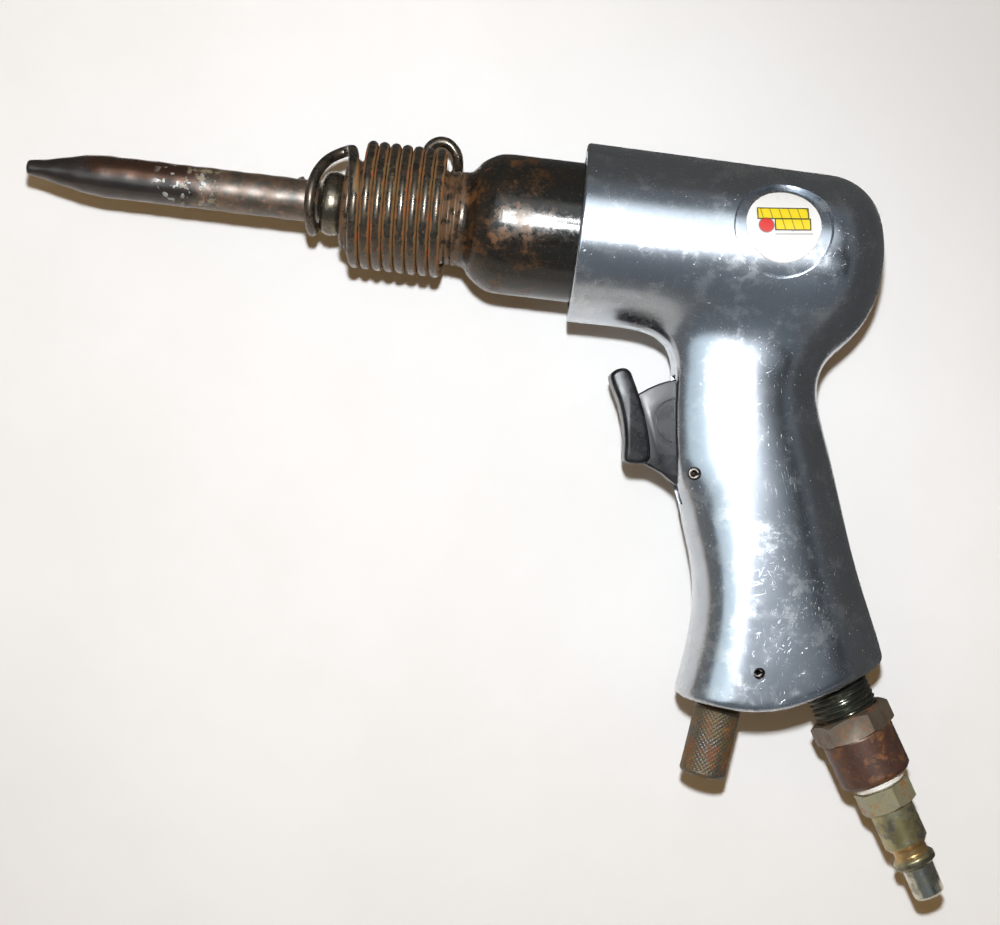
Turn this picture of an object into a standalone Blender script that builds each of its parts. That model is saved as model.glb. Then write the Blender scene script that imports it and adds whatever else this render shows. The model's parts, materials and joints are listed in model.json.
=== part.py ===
"""Pistol-grip pneumatic air hammer with a pointed punch, lying on its side.

Sizes are in millimetres in the tool's own frame and become metres when a shape is made.
X runs along the barrel axis towards the rear of the tool, Y points away from the grip, and Z
is the side of the tool that faces up. The tool's mid-plane is Z = 0 and its barrel axis is
Y = 0, Z = 0. X = 0 is the front face of the housing.
"""

import math

import bmesh
import bpy
from mathutils import Matrix, Vector

MM = 0.001
GAP = 0.3                      # clearance between neighbouring pieces

# Handle casting
HOUSING_R = 25.0               # at the front face
HOUSING_REAR_R = 24.1          # where the rear dome starts
DOME_START_X = 66.9
HOUSING_END_X = 84.8
DOME_POWER = 2.3
DOME_STEPS = 8
FRONT_CHAMFER = 0.4
BORE_R = 19.7
BORE_END_X = 70.0
MOUTH_R = 20.7                 # exhaust annulus round the barrel
MOUTH_DEPTH = 10.0
# One row per level of the grip: y, front x, back x, half thickness, superellipse power
GRIP_SECTIONS = (
    (-12.0, 30.0, 74.0, 19.5, 2.2),
    (-18.0, 27.0, 77.5, 17.4, 2.3),
    (-22.0, 26.0, 77.3, 16.6, 2.4),
    (-25.2, 25.4, 74.4, 16.3, 2.5),
    (-27.0, 28.8, 72.4, 16.3, 2.6),
    (-29.5, 31.5, 71.1, 16.3, 2.8),
    (-33.0, 31.9, 70.5, 16.3, 3.0),
    (-38.0, 31.4, 71.1, 16.3, 3.0),
    (-44.0, 31.9, 73.2, 16.4, 2.9),
    (-52.0, 32.8, 76.4, 16.5, 2.8),
    (-60.0, 34.2, 79.3, 16.5, 2.7),
    (-68.0, 35.7, 82.1, 16.5, 2.6),
    (-76.0, 38.0, 84.9, 16.5, 2.6),
    (-84.0, 41.2, 88.0, 16.6, 2.8),
    (-92.0, 43.5, 91.5, 16.8, 3.2),
    (-100.0, 44.4, 95.3, 17.0, 3.7),
    (-108.0, 44.0, 98.8, 17.2, 4.0),
    (-118.0, 42.6, 101.0, 17.4, 4.0),
    (-131.0, 40.6, 102.5, 17.5, 4.0),
)
GRIP_SIDES = 28

# Butt of the grip: the regulator's face and the inlet's face, each square to its own axis
REGULATOR_FACE = Vector((54.8, -125.4, 0.0))
REGULATOR_AXIS = Vector((-0.122, -0.9925, 0.0)).normalized()
INLET_POINT = Vector((88.75, -120.5, 0.0))
INLET_AXIS = Vector((0.521, -0.854, 0.0)).normalized()
INLET_FACE_U = -5.5            # stations u run along INLET_AXIS from INLET_POINT

# Barrel
NOSE_X = -65.3
BARREL_END_X = 48.0
BARREL_R = 19.4
NECK_R = 13.1
PISTON_BORE_R = 9.7
PISTON_BORE_START_X = -26.0
SHANK_BORE_R = 5.35
# Shoulder between the neck and the barrel: x and radius
BARREL_SHOULDER = (
    (-31.0, 13.1), (-29.6, 14.6), (-28.0, 16.4), (-26.0, 17.8), (-24.0, 18.8), (-22.0, 19.25),
    (-20.0, 19.4),
)
EXHAUST_PORT_X = 6.0
EXHAUST_PORT_R = 2.2

# Piston
PISTON_R = 9.5
PISTON_LENGTH = 26.0
PISTON_FRONT_X = -21.2

# Punch
PUNCH_TIP_X = -154.2
PUNCH_R = 5.8
SHANK_END_X = -21.5
SHANK_R = 5.08
# Long taper behind the tip, then the plain body: x and radius
PUNCH_TAPER = (
    (-150.0, 2.6), (-146.0, 3.45), (-142.0, 4.35), (-138.0, 5.15), (-134.0, 5.7), (-131.0, PUNCH_R),
    (-72.4, PUNCH_R),
)
# Collar that the retaining spring's loop holds: x and radius
PUNCH_COLLAR = ((-71.6, 6.4), (-71.0, 7.9), (-70.0, 8.7), (-68.6, 8.9), (-67.2, 8.7))

# Retaining spring
WIRE_R = 1.48
COIL_R = 16.3
COIL_RISE = 0.8                # the coil sits slightly above the barrel axis
COIL_PITCH = 3.21
COIL_FIRST_X = -60.7           # lowest point of the first turn
COIL_SPAN = (-0.25, 7.25)      # whole turns from that point, front end and rear end
COIL_STEPS = 12
HAIRPIN = (                    # from the first turn over the top, down round the punch to the tip
    (-62.7, 9.2, 13.6), (-63.9, 13.8, 7.6), (-65.1, 14.9, 3.2), (-66.6, 14.7, 1.0),
    (-69.2, 13.2, 1.6), (-71.4, 10.9, 3.8), (-73.1, 7.6, 6.1), (-74.0, 3.4, 8.0),
    (-74.1, -1.0, 8.4), (-73.7, -5.2, 6.7), (-73.2, -8.1, 1.0), (-73.6, -6.0, -5.6),
    (-75.0, -0.8, -8.3), (-77.0, 3.9, -7.5), (-79.2, 6.2, -5.8),
)
EAR = (                        # from the last turn up behind the neck and back over the coil
    (-36.2, 8.0, -14.9), (-35.6, 14.6, -11.4), (-36.1, 18.8, -9.4), (-38.6, 21.6, -8.8),
    (-41.6, 22.0, -8.9), (-44.0, 20.3, -9.4), (-44.8, 17.2, -10.0),
)

# Distributor behind the barrel
CASE_R = 19.4
FRONT_CASE_X = (48.3, 54.5)
REAR_CASE_X = (54.8, 69.7)
DISC_X = (55.1, 57.1)
DISC_R = 13.2
DISC_CHAMBER_R = 13.6
DISC_CHAMBER_END_X = 58.8
FRONT_PORT_R = 1.6
FRONT_PORT_CIRCLE_R = 10.5
AIR_GROOVE_X = (59.5, 63.5)
AIR_GROOVE_R = 15.0
REAR_PORT_R = 1.5
VALVE_PIN_R = 1.25
VALVE_PIN_OFFSET = 16.4
VALVE_PIN_X = (43.5, 58.8)

# Trigger
TRIGGER_PIVOT = Vector((39.1, -62.7, 0.0))
TRIGGER_PIN_R = 1.5
TRIGGER_PIN_LENGTH = 29.0
TRIGGER_ARC_R = 26.3
WEB_HALF = 5.8
PAD_HALF = 7.6
SLOT_HALF = 6.3
SLOT_BACK_X = 47.5
SLOT_BOTTOM_Y = -71.5
FINGER_DIMPLE = Vector((33.4, -49.2, 0.0))
FINGER_DIMPLE_R = 6.6
FINGER_DIMPLE_DEPTH = 0.8

# Throttle valve, on an axis parallel to the barrel
THROTTLE_Y = -47.0
STEM_TIP_X = 42.2
STEM_R = 2.2
STEM_HEAD_X = (57.7, 60.4)
STEM_HEAD_R = 4.4
THROTTLE_BORE_R = 6.5
THROTTLE_BORE_END_X = 68.0
BUSHING_X = (47.8, 56.0)

# Regulator, stations w run along REGULATOR_AXIS from its face, so negative w is inside
KNOB_R = 6.6
KNOB_LENGTH = 20.5
PLUG_R = 7.4
REGULATOR_BORE_R = 7.7
NOSE_R = 4.2
NOSE_ROOT_W = -24.0
FLOW_FLAT_LENGTH = 12.0
REGULATOR_DEPTH = 40.0
REGULATOR_PIN = Vector((62.6, -114.2, 0.0))
REGULATOR_PIN_R = 1.3
REGULATOR_PIN_LENGTH = 28.0
PIN_GROOVE_W = -12.1
SEAL_GROOVE_W = -18.2

# Air inlet, stations u run along INLET_AXIS from INLET_POINT
INLET_BORE_R = 9.15
INLET_THREAD_R = 8.85
SCREEN_BORE_R = 7.0
ADAPTER_HEX_FLATS = 20.0
ADAPTER_HEX_U = (3.5, 10.2)
ADAPTER_HEX_TURN = math.radians(11.8)
ADAPTER_R = 10.15
ADAPTER_END_U = 23.5
PLUG_HEX_FLATS = 14.1
PLUG_HEX_U = (26.0, 32.4)
PLUG_HEX_TURN = math.radians(18.7)
PLUG_THREAD_R = 6.2
PLUG_BORE_R = 2.6
# Outside of the quick-connect plug beyond its hexagon: station u and radius
PLUG_OUTSIDE = (
    (32.3, 6.2), (43.2, 6.2), (44.8, 4.7), (46.6, 4.7), (47.6, 5.7), (48.6, 6.05), (49.6, 5.6),
    (50.4, 4.35), (57.6, 4.35), (58.8, 4.0), (59.6, 3.5),
)

# Badge on the upper side of the housing
BADGE_X = 54.0
BADGE_TILT = math.radians(10.4)
BADGE_POCKET_R = 12.75
BADGE_R = 10.2
BADGE_FLOOR_R = 23.5           # radius of the pocket floor about the barrel axis
BADGE_THICKNESS = 0.3

X_AXIS = Vector((1.0, 0.0, 0.0))
Y_AXIS = Vector((0.0, 1.0, 0.0))
Z_AXIS = Vector((0.0, 0.0, 1.0))


# ---------------------------------------------------------------- scene and placing

def clear_scene():
    for obj in list(bpy.data.objects):
        bpy.data.objects.remove(obj)


def new_collection(name):
    collection = bpy.data.collections.new(name)
    bpy.context.scene.collection.children.link(collection)
    return collection


def inlet_point(u):
    return INLET_POINT + INLET_AXIS * u


def regulator_point(w):
    return REGULATOR_FACE + REGULATOR_AXIS * w


def footprint_centre():
    """Middle of the tool's footprint and the height of its lowest line, in the tool's frame."""
    reach_x = max(INLET_POINT.x + u * INLET_AXIS.x + r * abs(INLET_AXIS.y) for u, r in PLUG_OUTSIDE)
    reach_y = min(INLET_POINT.y + u * INLET_AXIS.y - r * INLET_AXIS.x for u, r in PLUG_OUTSIDE)
    return Vector(((PUNCH_TIP_X + reach_x) / 2, (HOUSING_R + reach_y) / 2, -HOUSING_R))


def lay_axis(direction):
    """Rotation that turns local Z to a direction in the XY plane and local X to world Z."""
    d = direction.normalized()
    return Matrix((Z_AXIS, d.cross(Z_AXIS), d)).transposed().to_quaternion()


class Tool:
    """The two collections and the empty that every piece hangs from."""

    def __init__(self):
        self.parts = new_collection("air_hammer")
        self.cutters = new_collection("air_hammer_cutters")
        self.cutters.hide_render = True
        self.root = bpy.data.objects.new("air_hammer_frame", None)
        self.root.location = -footprint_centre() * MM
        self.parts.objects.link(self.root)

    def add(self, name, data, origin=Vector(), direction=None, cutter=False):
        obj = bpy.data.objects.new(name, data)
        (self.cutters if cutter else self.parts).objects.link(obj)
        obj.parent = self.root
        obj.location = Vector(origin) * MM
        if direction is not None:
            obj.rotation_mode = "QUATERNION"
            obj.rotation_quaternion = lay_axis(direction)
        if cutter:
            obj.hide_render = True
            obj.display_type = "WIRE"
        return obj


def paint(obj, name, colour, roughness, metallic):
    material = bpy.data.materials.new(name)
    material.use_nodes = True
    shader = material.node_tree.nodes["Principled BSDF"]
    shader.inputs["Base Color"].default_value = (*colour, 1.0)
    shader.inputs["Roughness"].default_value = roughness
    shader.inputs["Metallic"].default_value = metallic
    obj.data.materials.append(material)
    return obj


# ---------------------------------------------------------------- shapes

def rod_profile(start, end, radius, chamfer=0.4):
    """Outside of a straight rod with chamfered ends, as stations and radii."""
    low = radius - chamfer
    return [(start, low), (start + chamfer, radius), (end - chamfer, radius), (end, low)]


def solid_walk(outside):
    """Closes an outside on the axis at both ends."""
    return [(outside[0][0], 0.0), *outside, (outside[-1][0], 0.0)]


def turned(tool, name, walk, origin=Vector(), direction=X_AXIS, closed=False, steps=32, cutter=False):
    """A turned shape. The walk runs up the outside by rising station, then back down the inside."""
    mesh = bpy.data.meshes.new(name)
    points = [(radius * MM, 0.0, station * MM) for station, radius in reversed(walk)]
    edges = [(i, i + 1) for i in range(len(points) - 1)]
    if closed:
        edges.append((len(points) - 1, 0))
    mesh.from_pydata(points, edges, [])
    obj = tool.add(name, mesh, origin, direction, cutter)
    screw = obj.modifiers.new("Turn", "SCREW")
    screw.axis = "Z"
    screw.angle = math.tau
    screw.steps = steps
    screw.render_steps = steps
    screw.use_merge_vertices = True
    screw.merge_threshold = 0.00001
    return obj


def stepped_bore(tool, name, steps_along, origin, direction, steps):
    """A cutter for a bore of several widths. Each entry starts a width, and the last ends the bore."""
    outside = []
    for (start, radius), (end, _) in zip(steps_along, steps_along[1:]):
        outside += [(start, radius), (end, radius)]
    return turned(tool, name, solid_walk(outside), origin, direction, steps=steps, cutter=True)


def tube_walk(start, end, outer, inner):
    return [(start, outer), (end, outer), (end, inner), (start, inner)]


def drill(tool, name, start, end, radius, steps=20):
    """A cutter shaped as a straight round drill from start to end."""
    start, end = Vector(start), Vector(end)
    mesh = bpy.data.meshes.new(name)
    shape = bmesh.new()
    depth = (end - start).length
    bmesh.ops.create_cone(
        shape, cap_ends=True, segments=steps, radius1=radius * MM, radius2=radius * MM, depth=depth * MM
    )
    shape.to_mesh(mesh)
    shape.free()
    obj = tool.add(name, mesh, (start + end) / 2, cutter=True)
    obj.rotation_mode = "QUATERNION"
    obj.rotation_quaternion = (end - start).to_track_quat("Z", "Y")
    return obj


def block(tool, name, low, high):
    """A cutter shaped as a box between two corners of the tool's frame."""
    low, high = Vector(low), Vector(high)
    mesh = bpy.data.meshes.new(name)
    shape = bmesh.new()
    bmesh.ops.create_cube(shape, size=1.0)
    bmesh.ops.scale(shape, vec=(high - low) * MM, verts=shape.verts)
    shape.to_mesh(mesh)
    shape.free()
    return tool.add(name, mesh, (low + high) / 2, cutter=True)


def hexagon(tool, name, span, flats, origin, direction, ridge_angle):
    """A hexagonal prism, one of whose ridges stands at ridge_angle from the in-plane normal."""
    mesh = bpy.data.meshes.new(name)
    shape = bmesh.new()
    radius = flats / math.sqrt(3)
    depth = span[1] - span[0]
    bmesh.ops.create_cone(
        shape, cap_ends=True, segments=6, radius1=radius * MM, radius2=radius * MM, depth=depth * MM
    )
    shape.verts.ensure_lookup_table()
    first = shape.verts[0].co
    turn = ridge_angle - math.pi / 2 - math.atan2(first.y, first.x)
    bmesh.ops.rotate(shape, verts=shape.verts, matrix=Matrix.Rotation(turn, 3, "Z"))
    bmesh.ops.translate(shape, verts=shape.verts, vec=(0, 0, (span[0] + span[1]) / 2 * MM))
    shape.to_mesh(mesh)
    shape.free()
    return tool.add(name, mesh, origin, direction, cutter=True)


def slab(tool, name, outline, half, origin, cutter=False, bevel=0.0):
    """A flat outline in the XY plane, given half its thickness each way, as a welded mesh."""
    curve = bpy.data.curves.new(name + "_outline", "CURVE")
    curve.dimensions = "2D"
    curve.fill_mode = "BOTH"
    curve.extrude = half * MM
    spline = curve.splines.new("POLY")
    spline.points.add(len(outline) - 1)
    for point, (x, y) in zip(spline.points, outline):
        point.co = ((x - origin[0]) * MM, (y - origin[1]) * MM, 0.0, 1.0)
    spline.use_cyclic_u = True
    flat = tool.add(name + "_outline", curve, origin, cutter=True)
    mesh = welded_mesh(flat, name)
    bpy.data.objects.remove(flat)
    obj = tool.add(name, mesh, origin, cutter=cutter)
    if bevel:
        rounding = obj.modifiers.new("Round", "BEVEL")
        rounding.width = bevel * MM
        rounding.segments = 2
        rounding.limit_method = "ANGLE"
        rounding.angle_limit = math.radians(50)
    return obj


def welded_mesh(obj, name):
    bpy.context.view_layer.update()
    graph = bpy.context.evaluated_depsgraph_get()
    mesh = bpy.data.meshes.new_from_object(obj.evaluated_get(graph))
    mesh.name = name
    shape = bmesh.new()
    shape.from_mesh(mesh)
    bmesh.ops.remove_doubles(shape, verts=shape.verts, dist=0.000001)
    bmesh.ops.recalc_face_normals(shape, faces=shape.faces)
    shape.to_mesh(mesh)
    shape.free()
    return mesh


def wire(tool, name, path, radius):
    """A round wire along a list of points."""
    curve = bpy.data.curves.new(name, "CURVE")
    curve.dimensions = "3D"
    curve.bevel_depth = radius * MM
    curve.bevel_resolution = 2
    curve.use_fill_caps = True
    curve.twist_mode = "MINIMUM"
    spline = curve.splines.new("POLY")
    spline.points.add(len(path) - 1)
    for point, place in zip(spline.points, path):
        point.co = (*(Vector(place) * MM), 1.0)
    return tool.add(name, curve)


def ring(tool, name, centre, direction, mean_r, section_r):
    """An O-ring lying square to a direction."""
    mesh = bpy.data.meshes.new(name)
    shape = bmesh.new()
    sides, around = 6, 20
    loops = []
    for i in range(around):
        turn = math.tau * i / around
        loop = []
        for k in range(sides):
            roll = math.tau * k / sides
            r = (mean_r + section_r * math.cos(roll)) * MM
            height = section_r * math.sin(roll) * MM
            loop.append(shape.verts.new((r * math.cos(turn), r * math.sin(turn), height)))
        loops.append(loop)
    for i in range(around):
        a, b = loops[i], loops[(i + 1) % around]
        for k in range(sides):
            shape.faces.new((a[k], b[k], b[(k + 1) % sides], a[(k + 1) % sides]))
    shape.to_mesh(mesh)
    shape.free()
    return tool.add(name, mesh, centre, direction)


def curve_through(points, steps):
    """Catmull-Rom curve through hand-placed points, with steps points to a span."""
    inner = [Vector(point) for point in points]
    ends = [2 * inner[0] - inner[1], *inner, 2 * inner[-1] - inner[-2]]
    path = []
    for i in range(1, len(ends) - 2):
        p0, p1, p2, p3 = ends[i - 1:i + 3]
        slope = p2 - p0
        bend = 2 * p0 - 5 * p1 + 4 * p2 - p3
        twist = 3 * p1 - p0 - 3 * p2 + p3
        for k in range(steps):
            t = k / steps
            path.append(p1 + 0.5 * (slope * t + bend * t**2 + twist * t**3))
    path.append(ends[-2])
    return path


def boolean(obj, other, operation):
    modifier = obj.modifiers.new(other.name, "BOOLEAN")
    modifier.operation = operation
    modifier.object = other
    modifier.solver = "EXACT"
    return obj


def cut(obj, *cutters):
    for cutter in cutters:
        boolean(obj, cutter, "DIFFERENCE")
    return obj


def join(obj, other):
    return boolean(obj, other, "UNION")


def keep(obj, other):
    return boolean(obj, other, "INTERSECT")


# ---------------------------------------------------------------- handle casting

def housing_radius(x):
    """Outside radius of the barrel housing, with a slight taper and a rounded rear dome."""
    if x <= DOME_START_X:
        return HOUSING_R + (HOUSING_REAR_R - HOUSING_R) * x / DOME_START_X
    share = (x - DOME_START_X) / (HOUSING_END_X - DOME_START_X)
    return HOUSING_REAR_R * max(0.0, 1 - share**DOME_POWER) ** (1 / DOME_POWER)


def grip_loft(tool):
    """The grip, lofted through superelliptic sections that lie square to Y."""
    mesh = bpy.data.meshes.new("grip_form")
    shape = bmesh.new()
    loops = []
    for y, front, back, half, power in GRIP_SECTIONS:
        centre, reach = (front + back) / 2, (back - front) / 2
        loop = []
        for k in range(GRIP_SIDES):
            a = math.tau * k / GRIP_SIDES
            c, s = math.cos(a), math.sin(a)
            x = centre + reach * math.copysign(abs(c) ** (2 / power), c)
            z = half * math.copysign(abs(s) ** (2 / power), s)
            loop.append(shape.verts.new((x * MM, y * MM, z * MM)))
        loops.append(loop)
    for a, b in zip(loops, loops[1:]):
        for k in range(GRIP_SIDES):
            shape.faces.new((a[k], b[k], b[(k + 1) % GRIP_SIDES], a[(k + 1) % GRIP_SIDES]))
    shape.faces.new(loops[0][::-1])
    shape.faces.new(loops[-1])
    bmesh.ops.recalc_face_normals(shape, faces=shape.faces)
    shape.to_mesh(mesh)
    shape.free()
    return tool.add("grip_form", mesh, cutter=True)


def butt_trimmer(tool, name, face_point, axis, reach):
    """A block that removes everything beyond a butt face."""
    trimmer = block(tool, name, (-reach, -reach, 0.0), (reach, reach, reach))
    trimmer.location = (face_point + axis * reach / 2) * MM
    trimmer.rotation_mode = "QUATERNION"
    trimmer.rotation_quaternion = lay_axis(axis)
    return trimmer


def housing_walk():
    """Half section of the solid housing, bunched stations over the rear dome."""
    rise = HOUSING_END_X - DOME_START_X
    dome = [DOME_START_X + rise * math.sin(math.pi / 2 * i / DOME_STEPS) for i in range(DOME_STEPS)]
    front = [(0.0, HOUSING_R - FRONT_CHAMFER), (FRONT_CHAMFER, HOUSING_R)]
    return [(0.0, 0.0), *front, *((x, housing_radius(x)) for x in dome), (HOUSING_END_X, 0.0)]


def butt_faces(tool):
    return [
        butt_trimmer(tool, "regulator_face", REGULATOR_FACE, REGULATOR_AXIS, 60.0),
        butt_trimmer(tool, "inlet_face", inlet_point(INLET_FACE_U), INLET_AXIS, 60.0),
    ]


def trigger_slot(tool):
    top = TRIGGER_PIVOT.y + TRIGGER_ARC_R + GAP
    low, high = (20.0, SLOT_BOTTOM_Y, -SLOT_HALF), (SLOT_BACK_X, top, SLOT_HALF)
    return block(tool, "trigger_slot", low, high)


def casting_bores(tool):
    throttle = [(SLOT_BACK_X - 1, THROTTLE_BORE_R), (THROTTLE_BORE_END_X, 0.0)]
    regulator = [(-REGULATOR_DEPTH - 2, NOSE_R + GAP), (NOSE_ROOT_W - 0.4, REGULATOR_BORE_R), (2.0, 0.0)]
    inlet = [(-32.0, SCREEN_BORE_R), (-19.2, INLET_BORE_R), (0.0, 0.0)]
    barrel = [(-5.0, MOUTH_R), (MOUTH_DEPTH, BORE_R), (BORE_END_X, 0.0)]
    return [
        stepped_bore(tool, "throttle_bore", throttle, Y_AXIS * THROTTLE_Y, X_AXIS, 24),
        stepped_bore(tool, "regulator_bore", regulator, REGULATOR_FACE, REGULATOR_AXIS, 24),
        stepped_bore(tool, "inlet_bore", inlet, INLET_POINT, INLET_AXIS, 24),
        stepped_bore(tool, "barrel_bore", barrel, Vector(), X_AXIS, 36),
    ]


def air_passages(tool):
    """Drilled ways from the inlet to the throttle and from the throttle to the distributor."""
    return [
        drill(tool, "cavity_passage", (54.4, -44.0, 0), (61.3, -17.0, 0), 3.0, 14),
        drill(tool, "throttle_passage", (58.6, -87.0, 0), (63.4, -50.0, 0), 3.2, 14),
        drill(tool, "gallery", (74.0, -94.4, 0), (58.5, -91.0, 0), 2.8, 14),
    ]


def cross_pin_hole(tool, name, centre, radius):
    through = Z_AXIS * (HOUSING_R + 5)
    return drill(tool, name, centre - through, centre + through, radius + GAP, 16)


def make_casting(tool):
    casting = turned(tool, "handle_casting", housing_walk(), steps=40)
    join(casting, grip_loft(tool))
    cut(casting, *butt_faces(tool), trigger_slot(tool), *casting_bores(tool), *air_passages(tool))
    cut(
        casting,
        cross_pin_hole(tool, "trigger_pin_hole", TRIGGER_PIVOT, TRIGGER_PIN_R),
        cross_pin_hole(tool, "regulator_pin_hole", REGULATOR_PIN, REGULATOR_PIN_R),
        badge_pocket(tool),
    )
    return paint(casting, "polished_aluminium", (0.72, 0.73, 0.75), 0.16, 1.0)


def badge_axis():
    return Vector((0.0, math.sin(BADGE_TILT), math.cos(BADGE_TILT)))


def badge_form(tool, name, radius, inner, outer, cutter):
    """A round piece of the shell between two radii about the barrel axis."""
    foot = X_AXIS * BADGE_X
    low, high = foot - X_AXIS * 20, foot + X_AXIS * 20
    form = drill(tool, name, foot, foot + badge_axis() * (outer + 4), radius, 36)
    if not cutter:
        tool.cutters.objects.unlink(form)
        tool.parts.objects.link(form)
        form.hide_render = False
        form.display_type = "TEXTURED"
        keep(form, drill(tool, name + "_top", low, high, outer, 96))
    return cut(form, drill(tool, name + "_core", low, high, inner, 96))


def badge_pocket(tool):
    return badge_form(tool, "badge_pocket", BADGE_POCKET_R, BADGE_FLOOR_R, HOUSING_R, True)


def make_badge(tool):
    floor = BADGE_FLOOR_R + 0.2
    badge = badge_form(tool, "badge_disc", BADGE_R, floor, floor + BADGE_THICKNESS, False)
    return paint(badge, "badge_white", (0.88, 0.88, 0.86), 0.35, 0.0)


# ---------------------------------------------------------------- barrel, punch and spring

def make_barrel(tool):
    outside = [
        (NOSE_X, NECK_R - 1.3), (NOSE_X + 0.8, NECK_R - 0.4), (NOSE_X + 2, NECK_R), *BARREL_SHOULDER,
        (BARREL_END_X, BARREL_R),
    ]
    inside = [
        (BARREL_END_X, PISTON_BORE_R), (PISTON_BORE_START_X, PISTON_BORE_R),
        (PISTON_BORE_START_X, SHANK_BORE_R), (NOSE_X, SHANK_BORE_R),
    ]
    barrel = turned(tool, "barrel", outside + inside, closed=True, steps=32)
    port = Vector((EXHAUST_PORT_X, 0, 0))
    for name, side in (("exhaust_ports_across", Y_AXIS), ("exhaust_ports_through", Z_AXIS)):
        cut(barrel, drill(tool, name, port - side * 22, port + side * 22, EXHAUST_PORT_R, 12))
    cut(barrel, *valve_pin_holes(tool, "barrel", VALVE_PIN_X[0] - GAP, BARREL_END_X + 2))
    return paint(barrel, "black_oxide_steel", (0.07, 0.06, 0.055), 0.3, 1.0)


def make_piston(tool):
    end = PISTON_FRONT_X + PISTON_LENGTH
    piston = turned(tool, "piston", solid_walk(rod_profile(PISTON_FRONT_X, end, PISTON_R, 0.8)), steps=32)
    return paint(piston, "hardened_steel", (0.45, 0.45, 0.47), 0.25, 1.0)


def make_punch(tool):
    shank = [
        (NOSE_X - GAP, 8.0), (NOSE_X - GAP, SHANK_R), (SHANK_END_X - 0.8, SHANK_R),
        (SHANK_END_X, SHANK_R - 0.8),
    ]
    outside = [(PUNCH_TIP_X, 1.5), (PUNCH_TIP_X + 0.4, 1.9), *PUNCH_TAPER, *PUNCH_COLLAR, *shank]
    punch = turned(tool, "punch", solid_walk(outside), steps=24)
    return paint(punch, "worn_tool_steel", (0.16, 0.12, 0.10), 0.4, 1.0)


def coil_point(turns):
    """A point of the coil, whole turns from its first lowest point, rising towards the rear."""
    angle = math.pi + math.tau * turns
    across, up = COIL_R * math.cos(angle), COIL_R * math.sin(angle)
    return Vector((COIL_FIRST_X + COIL_PITCH * turns, COIL_RISE + across, up))


def spring_path():
    first, last = COIL_SPAN
    count = round((last - first) * COIL_STEPS)
    coil = [coil_point(first + (last - first) * i / count) for i in range(count + 1)]
    front = curve_through([coil_point(first), *HAIRPIN], 2)[:0:-1]
    rear = curve_through([coil_point(last), *EAR], 2)[1:]
    return front + coil + rear


def make_retaining_spring(tool):
    spring = wire(tool, "retaining_spring", spring_path(), WIRE_R)
    return paint(spring, "rusty_spring_wire", (0.12, 0.09, 0.07), 0.35, 1.0)


# ---------------------------------------------------------------- distributor

def valve_pin_holes(tool, owner, start, end):
    holes = []
    for number, side in ((1, 1), (2, -1)):
        offset = Z_AXIS * VALVE_PIN_OFFSET * side
        low, high = X_AXIS * start + offset, X_AXIS * end + offset
        holes.append(drill(tool, f"{owner}_pin_hole_{number}", low, high, VALVE_PIN_R + GAP, 12))
    return holes


def make_front_case(tool):
    start, end = FRONT_CASE_X
    walk = rod_profile(start, end, CASE_R, 0.4) + [(end, 5.5), (start, 5.5)]
    case = turned(tool, "valve_case_front", walk, closed=True, steps=32)
    for number in range(4):
        angle = math.radians(45 + 90 * number)
        place = Vector((0, math.cos(angle), math.sin(angle))) * FRONT_PORT_CIRCLE_R
        low, high = place + X_AXIS * (start - 1), place + X_AXIS * (end + 1)
        cut(case, drill(tool, f"front_port_{number}", low, high, FRONT_PORT_R, 10))
    cut(case, *valve_pin_holes(tool, "front_case", start - 1, end + 1))
    return paint(case, "ground_steel_front", (0.42, 0.42, 0.43), 0.3, 1.0)


def make_rear_case(tool):
    start, end = REAR_CASE_X
    low, high = AIR_GROOVE_X
    walk = [
        (start, CASE_R - 0.4), (start + 0.4, CASE_R), (low, CASE_R), (low, AIR_GROOVE_R),
        (high, AIR_GROOVE_R), (high, CASE_R), (end - 0.4, CASE_R), (end, CASE_R - 0.4), (end, 0.0),
    ]
    chamber = [
        (66.0, 0.0), (66.0, 5.0), (DISC_CHAMBER_END_X, 5.0), (DISC_CHAMBER_END_X, DISC_CHAMBER_R),
        (start, DISC_CHAMBER_R),
    ]
    case = turned(tool, "valve_case_rear", chamber + walk, steps=28)
    middle = X_AXIS * (low + high) / 2
    for name, side in (("rear_ports_across", Y_AXIS), ("rear_ports_through", Z_AXIS)):
        through = side * (AIR_GROOVE_R + 2)
        cut(case, drill(tool, name, middle - through, middle + through, REAR_PORT_R, 10))
    cut(case, *valve_pin_holes(tool, "rear_case", start - 1, VALVE_PIN_X[1] + 0.4))
    return paint(case, "ground_steel_rear", (0.42, 0.42, 0.43), 0.3, 1.0)


def make_valve_disc(tool):
    start, end = DISC_X
    walk = rod_profile(start, end, DISC_R, 0.3) + [(end, 2.0), (start, 2.0)]
    disc = turned(tool, "valve_disc", walk, closed=True, steps=36)
    return paint(disc, "valve_steel", (0.5, 0.5, 0.52), 0.2, 1.0)


def make_valve_pins(tool):
    for number, side in ((1, 1), (2, -1)):
        profile = solid_walk(rod_profile(*VALVE_PIN_X, VALVE_PIN_R, 0.3))
        pin = turned(tool, f"valve_pin_{number}", profile, Z_AXIS * VALVE_PIN_OFFSET * side, steps=12)
        paint(pin, f"pin_steel_{number}", (0.5, 0.5, 0.5), 0.3, 1.0)


# ---------------------------------------------------------------- trigger and throttle valve

def arc(centre, radius, start, end, count):
    """Points on an arc from one angle to another, in degrees."""
    angles = [math.radians(start + (end - start) * i / (count - 1)) for i in range(count)]
    return [(centre[0] + radius * math.cos(a), centre[1] + radius * math.sin(a)) for a in angles]


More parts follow.
